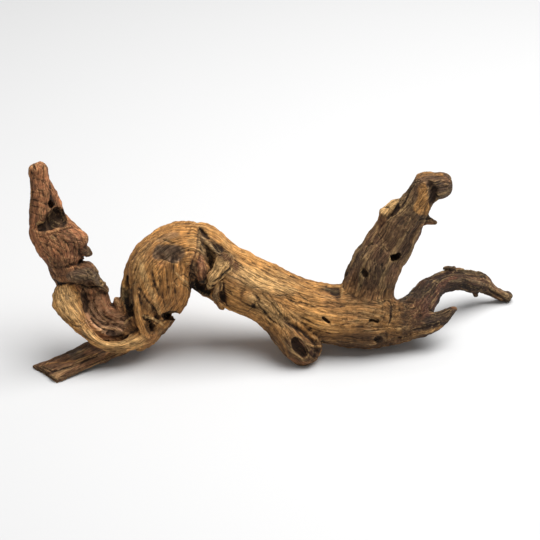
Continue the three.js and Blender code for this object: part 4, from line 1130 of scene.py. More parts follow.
ROOT_MARKS = (
    Spot(Hue.UMBER, 0.7, (
        (133, -33), (138, -38), (137, -48), (136, -60), (141, -68), (130, -72), (133, -55), (131, -40),
    )),
    Spot(Hue.ROSE, 0.35, (
        (140, -34), (150, -30), (160, -22), (167, -30), (166, -42), (150, -50), (142, -46),
    )),
    Spot(Hue.DUSKY, 0.85, (
        (144, -17), (150, -18), (153, -23), (150, -28), (144, -27), (142, -22),
    ), sunk=0.6),
    Spot(Hue.ASH, 0.8, ((128, -32), (134, -20), (142, -16), (140, -28), (133, -31))),
    Crease(Hue.BLACK_CRACK_AND_SHADE, 0.75, 1.2, 0.6, ((130, -32.5), (138, -31), (144, -33))),
    Crease(Hue.BLACK_CRACK_AND_SHADE, 0.6, 1, 0.6, ((135, -36), (140, -39), (146, -38))),
    Crease(Hue.CREVICE, 0.75, 1.2, 0.8, ((162, -46), (170, -45), (180, -40))),
    Crease(Hue.DUSKY, 0.6, 2, 0, ((153, -52), (166, -49), (176, -46))),
    Crease(Hue.CREVICE, 0.75, 1.5, 0.8, ((143, -60), (157, -57), (170, -53))),
    Crease(Hue.HONEY, 0.6, 2, -0.5, ((142, -65), (158, -62), (173, -56))),
    Spot(Hue.DUSKY, 0.6, ((166, -42), (178, -38), (184, -40), (178, -48), (168, -50), (164, -46))),
    Crease(Hue.RUSSET, 0.6, 2, 0, ((181, -37), (188, -38))),
    Crease(Hue.LIVER, 0.6, 1.3, 0.4, ((155, -20), (162, -10), (173, -3), (182, -2))),
    Crease(Hue.ROSE, 0.6, 3, 0, ((166, -30), (167, -20), (175, -12), (186, -7))),
    Crease(Hue.CREVICE, 0.5, 0.9, 0.4, ((160, -28), (163, -17), (172, -8), (184, -5))),
    Crease(Hue.BLACK_CRACK_AND_SHADE, 0.85, 2.5, 1.2, ((185, -2), (200, -1), (213, -4), (216, -8))),
    Crease(Hue.RUSSET, 0.5, 1.2, 0, ((186, 2), (200, 2), (212, 1.5))),
    Crease(Hue.GREYED, 0.7, 2, -0.4, ((180, -12), (195, -9.5), (210, -12), (225, -20))),
    Crease(Hue.BLACK_CRACK_AND_SHADE, 0.7, 3, 0.5, ((190, -16), (202, -17.5), (212, -18))),
    Crease(Hue.RUSSET, 0.5, 1, 0, ((202, -22), (205, -26))),
    Crease(Hue.BLACK_CRACK_AND_SHADE, 0.75, 2, 0.8, ((219, -19), (230, -27), (237, -31))),
    Crease(Hue.RUSTY, 0.6, 1.2, 0, ((226, -30), (238, -34))),
    Crease(Hue.GREYED, 0.6, 1.5, -0.3, ((217, -10), (230, -19), (239, -26))),
)

# Broad soft spots that set the tone of whole regions.
BROAD_TONES_AND_SHADE = (
    Spot(Hue.UMBER, 0.4, ((58, -30), (80, -28), (124, -26), (132, -60), (60, -62)), edge=8),
    Spot(Hue.UMBER, 0.3, ((-26, -4), (10, -22), (20, -36), (-10, -36), (-34, -22)), edge=7),
    Spot(Hue.DUSKY, 0.4, ((84, 10), (112, 52), (148, 60), (150, 36), (122, -6), (96, -16)), edge=7),
    Spot(Hue.LIVER, 0.3, ((150, -30), (172, -6), (196, 4), (206, -6), (184, -14), (166, -44)), edge=4),
    Spot(Hue.RUSTY, 0.35, ((-232, 60), (-216, 44), (-198, 40), (-192, 14), (-206, 2), (-222, 20)), edge=4),
    # Painted shade along the trunk's underside and down the knob leg.
    Spot(Hue.UMBER, 0.8, ((36, -63), (80, -63), (128, -59), (134, -84), (60, -84)), edge=6),
    Spot(Hue.DUSKY, 0.65, ((16, -68), (50, -72), (120, -74), (128, -84), (40, -96), (14, -92)), edge=5),
    Spot(Hue.UMBER, 0.85, (
        (-10, -60), (10, -68), (26, -66), (50, -74), (56, -96), (2, -96), (-8, -78),
    ), edge=5),
    Spot(Hue.UMBER, 0.3, ((74, -12), (98, 12), (118, -10), (116, -34), (80, -30)), edge=7),
    Spot(Hue.EARTH, 0.55, (
        (134, -24), (156, -14), (186, -32), (184, -60), (136, -74), (128, -50),
    ), edge=6),
    Spot(Hue.UMBER, 0.35, (
        (-130, 34), (-118, 28), (-126, 8), (-124, -14), (-140, -20), (-142, 6),
    ), edge=5),
    Spot(Hue.AMBER, 0.5, ((-118, 2), (-92, 0), (-86, -40), (-104, -52), (-116, -36)), edge=6),
    Spot(Hue.UMBER, 0.45, ((-50, 26), (-28, 14), (-24, 0), (-40, -6), (-52, 6)), edge=5),
    Spot(Hue.STRAW, 0.75, (
        (-216, -22), (-208, -14), (-196, -20), (-188, -50), (-200, -52), (-212, -40),
    ), edge=4),
    Spot(Hue.STRAW, 0.6, (
        (-196, -50), (-184, -56), (-168, -74), (-124, -62), (-124, -80), (-172, -82),
    ), edge=4),
    Spot(Hue.CLAY, 0.5, (
        (-182, -28), (-172, -30), (-160, -46), (-148, -44), (-150, -62), (-168, -64),
    ), edge=4),
    Spot(Hue.PALE, 0.55, ((-30, 8), (20, -14), (28, -24), (-6, -22), (-34, -6)), edge=6),
    Spot(Hue.PALE, 0.5, ((-26, -24), (-4, -26), (26, -52), (24, -62), (-12, -44)), edge=5),
)

MARKS = BROAD_TONES_AND_SHADE + HORN_MARKS + CUP_MARKS + ARCH_MARKS + TRUNK_MARKS + BRANCH_MARKS + ROOT_MARKS


class Lattice:
    """A box-shaped lattice of distances in the sighting frame, worked at some of its corners."""

    def __init__(
        self, low: tuple[float, ...], high: tuple[float, ...], cell: float, coarse: "Lattice | None" = None,
    ) -> None:
        """Lays the lattice out.

        Args:
            low: its lowest corner.
            high: its highest corner.
            cell: the spacing of its corners, in mm.
            coarse: a coarser lattice over the same box; only the corners near its surface are worked.
        """
        self.low = np.array(low, dtype=np.float32)
        self.cell = cell
        self.shape = tuple(math.ceil((b - a) / cell) + 1 for a, b in zip(low, high))
        self.values = np.zeros(self.shape, dtype=np.float32)
        if coarse:
            steps = [np.rint(np.arange(n) * cell / coarse.cell).astype(int) for n in self.shape]
            nearest = [np.minimum(s, n - 1) for s, n in zip(steps, coarse.shape)]
            self.values = coarse.values[np.ix_(*nearest)]
        reach = 2 * coarse.cell if coarse else FAR
        self.corners = np.nonzero(np.abs(self.values.ravel()) < reach)[0]
        indexes = np.stack(np.unravel_index(self.corners, self.shape), axis=1)
        self.points = self.low + np.float32(cell) * indexes.astype(np.float32)
        self.near = np.full(len(self.corners), FAR, dtype=np.float32)

    def add(self, growth: Growth) -> None:
        """Joins a limb or a scrap to the wood."""
        self.near = smooth_min(self.near, growth.read(self.points).distance, growth.join)

    def carve(self, growth: Growth) -> None:
        """Cuts a hollow from the wood."""
        self.near = -smooth_min(-self.near, growth.read(self.points).distance, growth.join)

    def weather(self, lumps: tuple[tuple[float, float], ...], depth: float = 4.0) -> None:
        """Roughens the surface.

        Args:
            lumps: for each kind of lump, its size and its height in mm.
            depth: how far from the surface the lattice is changed, in mm.
        """
        which = np.abs(self.near) < depth
        for size, height in lumps:
            self.near[which] += np.float32(height) * noise(self.points[which], size)

    def settle(self) -> None:
        """Cuts the wood flat where it rests, and takes the worked distances into the whole lattice."""
        self.near = np.maximum(self.near, -SIGHT.above_ground(self.points).astype(np.float32))
        flat = self.values.ravel()
        flat[self.corners] = self.near
        self.values = flat.reshape(self.shape)

    def surface(self) -> tuple[np.ndarray, np.ndarray]:
        """Draws the surface where the distance is zero, a vertex in each cell that it crosses.

        Returns:
            The vertices, as sighting points, and the four-sided faces.
        """
        solid = self.values < 0
        flat = self.values.ravel()
        strides = np.array([self.shape[1] * self.shape[2], self.shape[2], 1])
        cells, crossings, quads = [], [], []
        for axis in range(3):
            one = [slice(1, -1)] * 3
            two = [slice(1, -1)] * 3
            one[axis], two[axis] = slice(0, -1), slice(1, None)
            flips = np.nonzero(solid[tuple(one)] != solid[tuple(two)])
            corner = np.stack(flips, axis=1) + np.array([0 if n == axis else 1 for n in range(3)])
            base = corner @ strides
            a = flat[base]
            b = flat[base + strides[axis]]
            place = corner.astype(np.float32)
            place[:, axis] += a / (a - b)
            s, t = [n for n in range(3) if n != axis]
            ring = np.stack([
                base - strides[s] - strides[t], base - strides[t], base, base - strides[s],
            ], axis=1)
            cells.append(ring.ravel())
            crossings.append(np.repeat(place, 4, axis=0))
            outwards = (a < 0) ^ (axis == 1)
            quads.append(np.where(outwards[:, None], ring, ring[:, ::-1]))
        used, index = np.unique(np.concatenate(cells), return_inverse=True)
        places = np.concatenate(crossings)
        count = np.bincount(index)
        middles = np.stack([np.bincount(index, places[:, n]) / count for n in range(3)], axis=1)
        faces = np.searchsorted(used, np.concatenate(quads))
        return (self.low + self.cell * middles).astype(np.float32), faces


class Skin:
    """The wood's surface as vertices and four-sided faces, with what is known at each vertex."""

    def __init__(self, points: np.ndarray, faces: np.ndarray, cell: float) -> None:
        """Keeps the largest body of a mesh, and finds which vertices are neighbours.

        Args:
            points: the vertices, as sighting points.
            faces: the four-sided faces.
            cell: the spacing of the lattice that the mesh was drawn on, in mm.
        """
        self.points, self.faces = self.largest(points, faces)
        self.cell = cell
        ends = [self.faces[:, [n, (n + 1) % 4]] for n in range(4)]
        both = np.concatenate(ends + [e[:, ::-1] for e in ends])
        keys = np.unique(both[:, 0].astype(np.int64) * len(self.points) + both[:, 1])
        self.pairs = np.stack([keys // len(self.points), keys % len(self.points)], axis=1)
        self.valence = np.bincount(self.pairs[:, 0], minlength=len(self.points))

    @staticmethod
    def largest(points: np.ndarray, faces: np.ndarray) -> tuple[np.ndarray, np.ndarray]:
        """Drops loose scraps, which are bodies smaller than the largest.

        Args:
            points: the vertices.
            faces: the four-sided faces.

        Returns:
            The vertices and faces of the largest body.
        """
        label = np.arange(len(points))
        while True:
            low = label[faces].min(axis=1)
            spread = label.copy()
            for n in range(4):
                np.minimum.at(spread, faces[:, n], low)
            spread = spread[spread]
            if np.array_equal(spread, label):
                break
            label = spread
        main = np.bincount(label).argmax()
        keep = label == main
        order = np.cumsum(keep) - 1
        return points[keep], order[faces[keep[faces[:, 0]]]]

    def neighbour_mean(self, values: np.ndarray) -> np.ndarray:
        """Averages a value over each vertex's neighbours.

        Args:
            values: one number or one row of numbers for each vertex.

        Returns:
            The averages, in the same form.
        """
        flat = values.reshape(len(values), -1)
        sums = [
            np.bincount(self.pairs[:, 0], flat[self.pairs[:, 1], n], minlength=len(flat))
            for n in range(flat.shape[1])
        ]
        return (np.stack(sums, axis=1) / self.valence[:, None]).reshape(values.shape)

    def smoothed(self, values: np.ndarray, rounds: int, share: float = 0.6) -> np.ndarray:
        """Evens a value out over the surface.

        Args:
            values: one number or one row of numbers for each vertex.
            rounds: how often it is evened out.
            share: how much of a vertex's value its neighbours give, each round.

        Returns:
            The evened values.
        """
        for _ in range(rounds):
            values = (1 - share) * values + share * self.neighbour_mean(values)
        return values

    def normals(self, rounds: int = 0) -> np.ndarray:
        """Finds the outward direction at each vertex.

        Args:
            rounds: how often the directions are evened out.

        Returns:
            The directions, each of length 1.
        """
        p = self.points[self.faces]
        facing = np.cross(p[:, 2] - p[:, 0], p[:, 3] - p[:, 1])
        total = np.stack([
            sum(np.bincount(corner, facing[:, n], minlength=len(self.points)) for corner in self.faces.T)
            for n in range(3)
        ], axis=1)
        total = self.smoothed(total, rounds)
        return total / np.maximum(np.linalg.norm(total, axis=1), 1e-9)[:, None]

    def hollowness(self, rounds: int) -> np.ndarray:
        """How hollow the surface is at each vertex, per mm; ridges are below zero."""
        inset = np.einsum("ij,ij->i", self.neighbour_mean(self.points) - self.points, self.normals())
        return self.smoothed(inset / self.cell**2, rounds)

    def halves(self) -> list[tuple[np.ndarray, np.ndarray]]:
        """Shares the faces out between a left and a right half.

        Returns:
            For each half, the numbers of its vertices, and its faces counted in those vertices.
        """
        middle = self.points[self.faces, 0].mean(axis=1)
        left = middle < np.median(middle)
        found = []
        for side in (left, ~left):
            used = np.unique(self.faces[side])
            found.append((used, np.searchsorted(used, self.faces[side])))
        return found


@dataclass
class FrontView:
    """What of the skin is seen from the front, on the sighting plane.

    The plane is split into squares, and what lies further back in its square than hidden is unseen.
    facing is how far a seen part has to turn to the viewer. Lengths are in mm.
    """

    skin: Skin
    square: float = 1.5
    facing: tuple[float, float] = (-0.02, 0.14)
    hidden: tuple[float, float] = (1.0, 3.0)
    slope: float = 3.0
    wobble: float = 0.6

    def __post_init__(self) -> None:
        """Finds where each vertex shows, and how plainly."""
        points = self.skin.points
        near = points[:, 2]
        self.places = points[:, :2] * (SIGHT.distance / (SIGHT.distance - near))[:, None]
        squares = np.floor((self.places - self.places.min(axis=0)) / self.square).astype(int)
        front = np.full(squares.max(axis=0) + 1, -np.inf)
        np.maximum.at(front, tuple(squares.T), near)
        facing = self.skin.normals(2)[:, 2]
        behind = front[tuple(squares.T)] - near - self.slope / np.maximum(facing, 0.1)
        self.plain = smoothstep(*self.facing, facing) * (1 - smoothstep(*self.hidden, behind))
        wobble = [noise(points, 7, seed) + 0.5 * noise(points, 3, seed + 1) for seed in (41, 43)]
        self.drawn = self.places + self.wobble * np.stack(wobble, axis=1)

    def lay(self, mark: Mark) -> "LaidMark":
        """Lays a mark on the skin that is seen.

        Args:
            mark: the crease or the stain.

        Returns:
            The mark, with the vertices that it reaches.
        """
        run = np.array(mark.run)
        low, high = run.min(axis=0) - mark.reach, run.max(axis=0) + mark.reach
        inside = np.all((self.drawn > low) & (self.drawn < high), axis=1) & (self.plain > 0)
        which = np.nonzero(inside)[0]
        return LaidMark(mark, which, mark.cover(self.drawn[which]) * self.plain[which])


@dataclass
class LaidMark:
    """A mark on the skin: the numbers of the vertices that it reaches, and how much lies on each."""

    mark: Mark
    which: np.ndarray
    cover: np.ndarray


@dataclass(frozen=True)
class Tint:
    """A colour that sets in as a value of the skin rises from low to high."""

    hue: Hue
    strength: float
    low: float
    high: float

    def cover(self, values: np.ndarray) -> np.ndarray:
        """How much of the colour lies on each vertex."""
        return self.strength * smoothstep(self.low, self.high, values)


@dataclass
class Coat:
    """The tone of each vertex, as colours are laid over it."""

    tone: np.ndarray

    def lay(self, hue: Hue, cover: np.ndarray, which: np.ndarray | slice = slice(None)) -> None:
        """Lays a colour over some of the vertices, or over all."""
        self.tone[which] += (hue.linear - self.tone[which]) * np.clip(cover, 0, 1)[:, None]

    def tint(self, tint: Tint, values: np.ndarray) -> None:
        """Lays a tint by the values that it follows."""
        self.lay(tint.hue, tint.cover(values))


class Line(Enum):
    """The kinds of fine lines along the grain."""

    STRAND = "strand"
    FIBRE = "fibre"
    SPLIT = "split"
    HAIR = "hair"
    BAND = "band"


@dataclass(frozen=True)
class Lines:
    """Fine lines along the grain: their spacing, their length and their depth, in mm.

    Those with an edge are cracks, and the nearer it is to 1, the thinner they are.
    """

    across: float
    length: float
    depth: float
    seed: int
    edge: float = 0.0


@dataclass
class GrainReading:
    """What the limbs say about each vertex of the skin.

    It holds their blended colour, the place in their grain, how deep the vertex lies inside them as
    they were before the hollows, in mm, and the fine lines, each from -1 to 1 or, for cracks, 0 to 1.
    """

    colour: np.ndarray
    place: np.ndarray
    sunk: np.ndarray
    lines: dict[Line, np.ndarray]


@dataclass
class Weathering:
    """Roughness of the skin: its lumps, and the fine lines along its grain, which waver.

    Cracks open only in some places and break off in others. Sizes are in mm, and opening and
    breaking are the values of the noise between which they set in.
    """

    lumps: tuple[tuple[float, float], ...] = ((26.0, 1.3), (11.0, 0.8), (5.2, 0.5), (2.7, 0.4))
    lines: dict[Line, Lines] = field(default_factory=lambda: {
        Line.STRAND: Lines(6.0, 46.0, 0.9, 5),
        Line.FIBRE: Lines(2.6, 22.0, 0.4, 6),
        Line.SPLIT: Lines(11.0, 85.0, 0.5, 7, edge=0.86),
        Line.HAIR: Lines(5.0, 42.0, 0.35, 8, edge=0.8),
        Line.BAND: Lines(9.0, 40.0, 0.0, 9),
    })
    waver: float = 2.4
    waver_size: float = 18.0
    crack_core: float = 0.97
    opening: tuple[float, float] = (-0.15, 0.5)
    opening_size: float = 26.0
    breaking: tuple[float, float] = (-0.5, 0.3)
    breaking_size: float = 6.0

    def draw(self, grain: np.ndarray, points: np.ndarray, lines: Lines) -> np.ndarray:
        """Noise drawn out along the grain.

        Args:
            grain: the points' grain coordinates, in mm.
            points: the points themselves, which the lines waver with.
            lines: the kind of line.

        Returns:
            A value from -1 to 1 for each point.
        """
        wavering = grain.copy()
        for axis in range(2):
            wavering[:, axis] += self.waver * noise(points, self.waver_size, lines.seed + 20 + axis)
        return noise(wavering, (lines.across, lines.across, lines.length), lines.seed)

    def crack(self, drawn: np.ndarray, points: np.ndarray, lines: Lines) -> np.ndarray:
        """Turns drawn noise into cracks.

        Args:
            drawn: the noise along the grain.
            points: the points that it was drawn for.
            lines: the kind of line.

        Returns:
            How open a crack is at each point, from 0 to 1.
        """
        opened = smoothstep(*self.opening, noise(points, self.opening_size, lines.seed + 30))
        unbroken = smoothstep(*self.breaking, noise(points, self.breaking_size, lines.seed + 40))
        return smoothstep(lines.edge, self.crack_core, 1 - np.abs(drawn)) * opened * unbroken


@dataclass
class PatinaAndPaintedLight:
    """The colours laid on the wood, from the first to the last. Most are what time has laid; those deep
    inside and in hollows are painted shade, and those on the grain's crests and troughs and on ridges are
    partly grain and wear, partly painted highlight and shade. Sizes are in mm.
    """

    drift: float = 0.12
    drift_sizes: tuple[float, float] = (34.0, 13.0)
    patches: Tint = Tint(Hue.UMBER, 0.25, 0.2, 0.9)
    patch_size: tuple[float, float, float] = (30.0, 20.0, 20.0)
    blush: Tint = Tint(Hue.RUSSET, 0.3, 0.1, 0.8)
    blush_size: float = 22.0
    bands: Tint = Tint(Hue.UMBER, 0.3, 0.1, 0.75)
    # Painted shade: the deeper the skin lies inside the limbs, the darker it is.
    sunk_shade: Tint = Tint(Hue.BLACK_CRACK_AND_SHADE, 0.75, 3.0, 11.0)
    # How far each hollow's hue reaches and how deep it sets in; its dark hues are painted shade.
    hollow_fade: float = 1.1
    hollow_depths: tuple[float, float] = (0.2, 1.6)
    worn: tuple[float, float] = (-0.8, 0.1)
    worn_size: float = 5.0
    # The grain's crests lighter and its troughs darker: partly grain tone, partly painted highlight and
    # shade.
    crest_tone_and_highlight: Tint = Tint(Hue.PALE, 0.2, 0.1, 0.8)
    trough_tone_and_shade: Tint = Tint(Hue.CREVICE, 0.25, 0.0, 0.9)
    splits: float = 0.4
    hairs: float = 0.35
    # Painted shade in the skin's fine and broad hollows.
    fine_hollow_shade: Tint = Tint(Hue.CREVICE, 0.6, 0.03, 0.18)
    broad_hollow_shade: Tint = Tint(Hue.CREVICE, 0.6, 0.008, 0.045)
    # Ridges lighter: partly wear, partly painted highlight.
    ridge_wear_and_highlight: Tint = Tint(Hue.PALE, 0.26, 0.03, 0.15)
    broad_rounds: int = 7


class Sum(Enum):
    """The sums that a finish works out for each spot of the skin."""

    ADD = "ADD"
    SUBTRACT = "SUBTRACT"
    MULTIPLY = "MULTIPLY"
    ABSOLUTE = "ABSOLUTE"


@dataclass(frozen=True)
class WoodFinish:
    """Dry, blasted wood: the skin's own tones, with fibres, hair cracks, mottling and pores over them.

    The sizes of the fibres and hair cracks are per mm across the grain, and the others per metre.
    The shades multiply the tone, the relief is the share of each in the bump, whose height is in
    metres, and the spans are the values of the noise between which it shows.
    """

    fibres: float = 0.75
    fibre_length: float = 0.12
    fibre_span: tuple[float, float] = (0.32, 0.68)
    fibre_shades: tuple[float, float] = (0.6, 1.4)
    cracks: float = 0.4
    crack_length: float = 0.06
    crack_width: float = 0.042
    crack_shade: float = 0.36
    crack_relief: float = 0.5
    mottling: float = 190.0
    mottle_span: tuple[float, float] = (0.35, 0.65)
    mottle_shades: tuple[float, float] = (0.78, 1.26)
    mottle_relief: float = 0.8
    pores: float = 900.0
    pore_relief: float = 0.3
    bump_strength: float = 0.9
    bump_height: float = 0.0028
    distortion: float = 0.3
    roughness: tuple[float, float] = (0.6, 0.92)
    specular: float = 0.25

    def add_noise(
        self, tree: bpy.types.NodeTree, source: bpy.types.NodeSocket, scale: float, detail: float,
    ) -> bpy.types.NodeSocket:
        """Adds a noise texture.

        Args:
            tree: the material's nodes.
            source: the coordinates that it follows.
            scale: its lumps per unit of those coordinates.
            detail: how many finer layers it has.

        Returns:
            Its value, around one half.
        """
        node = tree.nodes.new("ShaderNodeTexNoise")
        node.inputs["Scale"].default_value = scale
        node.inputs["Detail"].default_value = detail
        node.inputs["Distortion"].default_value = self.distortion
        tree.links.new(source, node.inputs["Vector"])
        return node.outputs["Fac"]

    def ramp(
        self, tree: bpy.types.NodeTree, source: bpy.types.NodeSocket,
        given: tuple[float, float], wanted: tuple[float, float],
    ) -> bpy.types.NodeSocket:
        """Maps one span of values onto another, and keeps them inside it.

        Args:
            tree: the material's nodes.
            source: the values to map.
            given: the span that they come in.
            wanted: the span that it turns into.

        Returns:
            The mapped values.
        """
        node = tree.nodes.new("ShaderNodeMapRange")
        for name, value in zip(("From Min", "From Max", "To Min", "To Max"), (*given, *wanted)):
            node.inputs[name].default_value = value
        tree.links.new(source, node.inputs["Value"])
        return node.outputs["Result"]

    def combine(
        self, tree: bpy.types.NodeTree, kind: Sum, one: bpy.types.NodeSocket,
        two: bpy.types.NodeSocket | float,
    ) -> bpy.types.NodeSocket:
        """Works out one value from another value and a second one or a number.

        Args:
            tree: the material's nodes.
            kind: the sum to do.
            one: the first value.
            two: the second value, or a number.

        Returns:
            The result.
        """
        node = tree.nodes.new("ShaderNodeMath")
        node.operation = kind.value
        tree.links.new(one, node.inputs[0])
        if isinstance(two, float):
            node.inputs[1].default_value = two
        else:
            tree.links.new(two, node.inputs[1])
        return node.outputs[0]

    def drawn_out(self, tree: bpy.types.NodeTree, length: float) -> bpy.types.NodeSocket:
        """Squeezes the grain coordinates, so that what follows them is drawn out along the grain.

        Args:
            tree: the material's nodes.
            length: how far they are squeezed; smaller draws out further.

        Returns:
            The squeezed coordinates.
        """
        grain = tree.nodes.new("ShaderNodeAttribute")
        grain.attribute_name = "grain"
        drawn = tree.nodes.new("ShaderNodeVectorMath")
        drawn.operation = "MULTIPLY"
        drawn.inputs[1].default_value = (1, 1, length)
        tree.links.new(grain.outputs["Vector"], drawn.inputs[0])
        return drawn.outputs[0]

    def build(self) -> bpy.types.Material:
        """Makes the material.

        Returns:
            The material, ready for the skin.
        """
        material = bpy.data.materials.new("weathered_wood")
        material.use_nodes = True
        tree = material.node_tree
        shader = tree.nodes["Principled BSDF"]
        shader.inputs["Specular IOR Level"].default_value = self.specular
        tone = tree.nodes.new("ShaderNodeAttribute")
        tone.attribute_name = "tone"
        place = tree.nodes.new("ShaderNodeTexCoord").outputs["Object"]

        fibres = self.add_noise(tree, self.drawn_out(tree, self.fibre_length), self.fibres, 6)
        cracks = self.add_noise(tree, self.drawn_out(tree, self.crack_length), self.cracks, 3)
        mottling = self.add_noise(tree, place, self.mottling, 5)
        pores = self.add_noise(tree, place, self.pores, 2)
        off_middle = self.combine(tree, Sum.SUBTRACT, cracks, 0.5)
        off_middle = self.combine(tree, Sum.ABSOLUTE, off_middle, 0.0)
        whole = self.ramp(tree, off_middle, (0, self.crack_width), (self.crack_shade, 1))
        mottles = self.ramp(tree, mottling, self.mottle_span, self.mottle_shades)
        shade = self.ramp(tree, fibres, self.fibre_span, self.fibre_shades)
        shade = self.combine(tree, Sum.MULTIPLY, shade, mottles)
        shade = self.combine(tree, Sum.MULTIPLY, shade, whole)
        dyed = tree.nodes.new("ShaderNodeVectorMath")
        dyed.operation = "SCALE"
        tree.links.new(tone.outputs["Color"], dyed.inputs[0])
        tree.links.new(shade, dyed.inputs["Scale"])
        tree.links.new(dyed.outputs[0], shader.inputs["Base Color"])
        tree.links.new(self.ramp(tree, pores, (0, 1), self.roughness), shader.inputs["Roughness"])

        relief = fibres
        parts = ((pores, self.pore_relief), (whole, self.crack_relief), (mottling, self.mottle_relief))
        for value, share in parts:
            relief = self.combine(tree, Sum.ADD, relief, self.combine(tree, Sum.MULTIPLY, value, share))
        bump = tree.nodes.new("ShaderNodeBump")
        bump.inputs["Strength"].default_value = self.bump_strength
        bump.inputs["Distance"].default_value = self.bump_height
        tree.links.new(relief, bump.inputs["Height"])
        tree.links.new(bump.outputs[0], shader.inputs["Normal"])
        return material


@dataclass
class MopaniWood:
    """The whole piece of wood: its shape, its weathered skin and its colours.

    Its box lies in the sighting frame and its cells are those of the two lattices. blend is how
    softly the limbs' colours meet, and footing how high above the ground the skin gets rough, in mm.
    """

    cell: float = 1.1
    coarse_cell: float = 2.6
    low: tuple[float, float, float] = (-254, -118, -122)
    high: tuple[float, float, float] = (260, 114, 80)
    blend: float = 6.0
    least_share: float = 0.02
    footing: tuple[float, float] = (0.3, 2.5)
    brightness: float = 0.73
    darkest: float = 0.002
    weathering: Weathering = field(default_factory=Weathering)
    patina_and_light: PatinaAndPaintedLight = field(default_factory=PatinaAndPaintedLight)
    finish: WoodFinish = WoodFinish()
    shift: np.ndarray = field(default_factory=lambda: np.zeros(2))

    def shape(self, lattice: Lattice) -> Lattice:
        """Adds the limbs to a lattice, cuts the hollows and lays on the scraps.

        Args:
            lattice: an empty lattice.

        Returns:
            The same lattice, with the wood in it.
        """
        for limb in LIMBS:
            lattice.add(limb)
        for hollow in HOLLOWS:
            lattice.carve(hollow)
        for scrap in SCRAPS:
            lattice.add(scrap)
        return lattice

    def grow(self) -> Skin:
        """Grows the wood roughly, then finely along its surface.

        Returns:
            The surface, drawn on the fine lattice.
        """
        coarse = self.shape(Lattice(self.low, self.high, self.coarse_cell))
        coarse.settle()
        fine = self.shape(Lattice(self.low, self.high, self.cell, coarse))
        fine.weather(self.weathering.lumps)
        fine.settle()
        skin = Skin(*fine.surface(), self.cell)
        log.info("skin: %d vertices, %d faces", len(skin.points), len(skin.faces))
        return skin

    def read_grain(self, skin: Skin) -> GrainReading:
        """Reads every limb at every vertex.

        Args:
            skin: the bare skin.

        Returns:
            What the limbs and the scraps say, each by how near it is.
        """
        points = skin.points
        readings = [growth.read(points) for growth in LIMBS + SCRAPS]
        distances = np.stack([reading.distance for reading in readings])
        weights = np.exp(-(distances - distances.min(axis=0)) / self.blend) * (distances < FAR)
        weights /= np.maximum(weights.sum(axis=0), 1e-6)
        power = np.sqrt((weights**2).sum(axis=0))
        drawn = {line: np.zeros(len(points)) for line in Line}
        colour = np.zeros((len(points), 3))
        for growth, reading, weight in zip(LIMBS + SCRAPS, readings, weights):
            which = np.nonzero(weight > self.least_share)[0]
            share = weight[which] / power[which]
            colour[which] += weight[which, None] * growth.hue.linear
            for line, lines in self.weathering.lines.items():
                along = self.weathering.draw(reading.grain[which], points[which], lines)
                drawn[line][which] += share * along
        for line, lines in self.weathering.lines.items():
            if lines.edge:
                drawn[line] = self.weathering.crack(drawn[line], points, lines)
        colour /= np.maximum(weights.sum(axis=0), 1e-6)[:, None]
        places = np.stack([reading.grain for reading in readings])
        place = places[distances.argmin(axis=0), np.arange(len(points))]
        whole = np.full(len(points), FAR, dtype=np.float32)
        for growth, distance in zip(LIMBS, distances):
            whole = smooth_min(whole, distance, growth.join)
        return GrainReading(colour, place, -whole, drawn)

    def roughen(self, skin: Skin, grain: GrainReading, marks: list[LaidMark]) -> None:
        """Moves the skin in and out along the lines of its grain and at its marks.

        Args:
            skin: the skin to move.
            grain: what the limbs say about it.
            marks: the marks that lie on it.
        """
        height = np.zeros(len(skin.points))
        for line, lines in self.weathering.lines.items():
            height += (-lines.depth if lines.edge else lines.depth) * grain.lines[line]
        for laid in marks:
            height[laid.which] -= laid.mark.deep * laid.cover
        clear = smoothstep(*self.footing, SIGHT.above_ground(skin.points))
        skin.points = skin.points + (height * clear)[:, None] * skin.normals(2)

    def paint(self, skin: Skin, grain: GrainReading, marks: list[LaidMark]) -> np.ndarray:
        """Works out the colour of each vertex, painted shade and highlight included.

        Args:
            skin: the roughened skin.
            grain: what the limbs say about it.
            marks: the marks that lie on it.

        Returns:
            Linear red, green and blue for each vertex.
        """
        points, patina_and_light = skin.points, self.patina_and_light
        broad, narrow = patina_and_light.drift_sizes
        drift = noise(points, broad, seed=1) + 0.6 * noise(points, narrow, seed=2)
        coat = Coat(grain.colour * (1 + patina_and_light.drift * drift)[:, None])
        coat.tint(patina_and_light.patches, noise(points, patina_and_light.patch_size, seed=6))
        coat.tint(patina_and_light.blush, noise(points, patina_and_light.blush_size, seed=9))
        coat.tint(patina_and_light.bands, grain.lines[Line.BAND])
        # Painted shade: darker the deeper the skin lies inside the limbs.
        coat.tint(patina_and_light.sunk_shade, grain.sunk)
        # Each hollow's hue, laid more the deeper the skin lies: the near-black, dusky and umber ones are
        # painted shade in holes, cavities, grooves and recesses.
        inside = smoothstep(*patina_and_light.hollow_depths, grain.sunk)
        for hollow in HOLLOWS:
            distance = np.abs(hollow.read(points).distance)
            coat.lay(hollow.hue, np.exp(-distance / patina_and_light.hollow_fade) * inside)
        gaps = 1 - smoothstep(*patina_and_light.worn, noise(points, patina_and_light.worn_size, seed=3))
        for laid in marks:
            mark, which = laid.mark, laid.which
            coat.lay(mark.hue, mark.strength * laid.cover * (1 - mark.patchy * gaps[which]), which)
        # The grain's crests lighter and troughs darker: partly grain tone, partly painted highlight and
        # shade.
        streaks = grain.lines[Line.STRAND] + 0.5 * grain.lines[Line.FIBRE]
        coat.tint(patina_and_light.crest_tone_and_highlight, streaks)
        coat.tint(patina_and_light.trough_tone_and_shade, -streaks)
        coat.lay(Hue.CREVICE, patina_and_light.splits * grain.lines[Line.SPLIT])
        coat.lay(Hue.UMBER, patina_and_light.hairs * grain.lines[Line.HAIR])
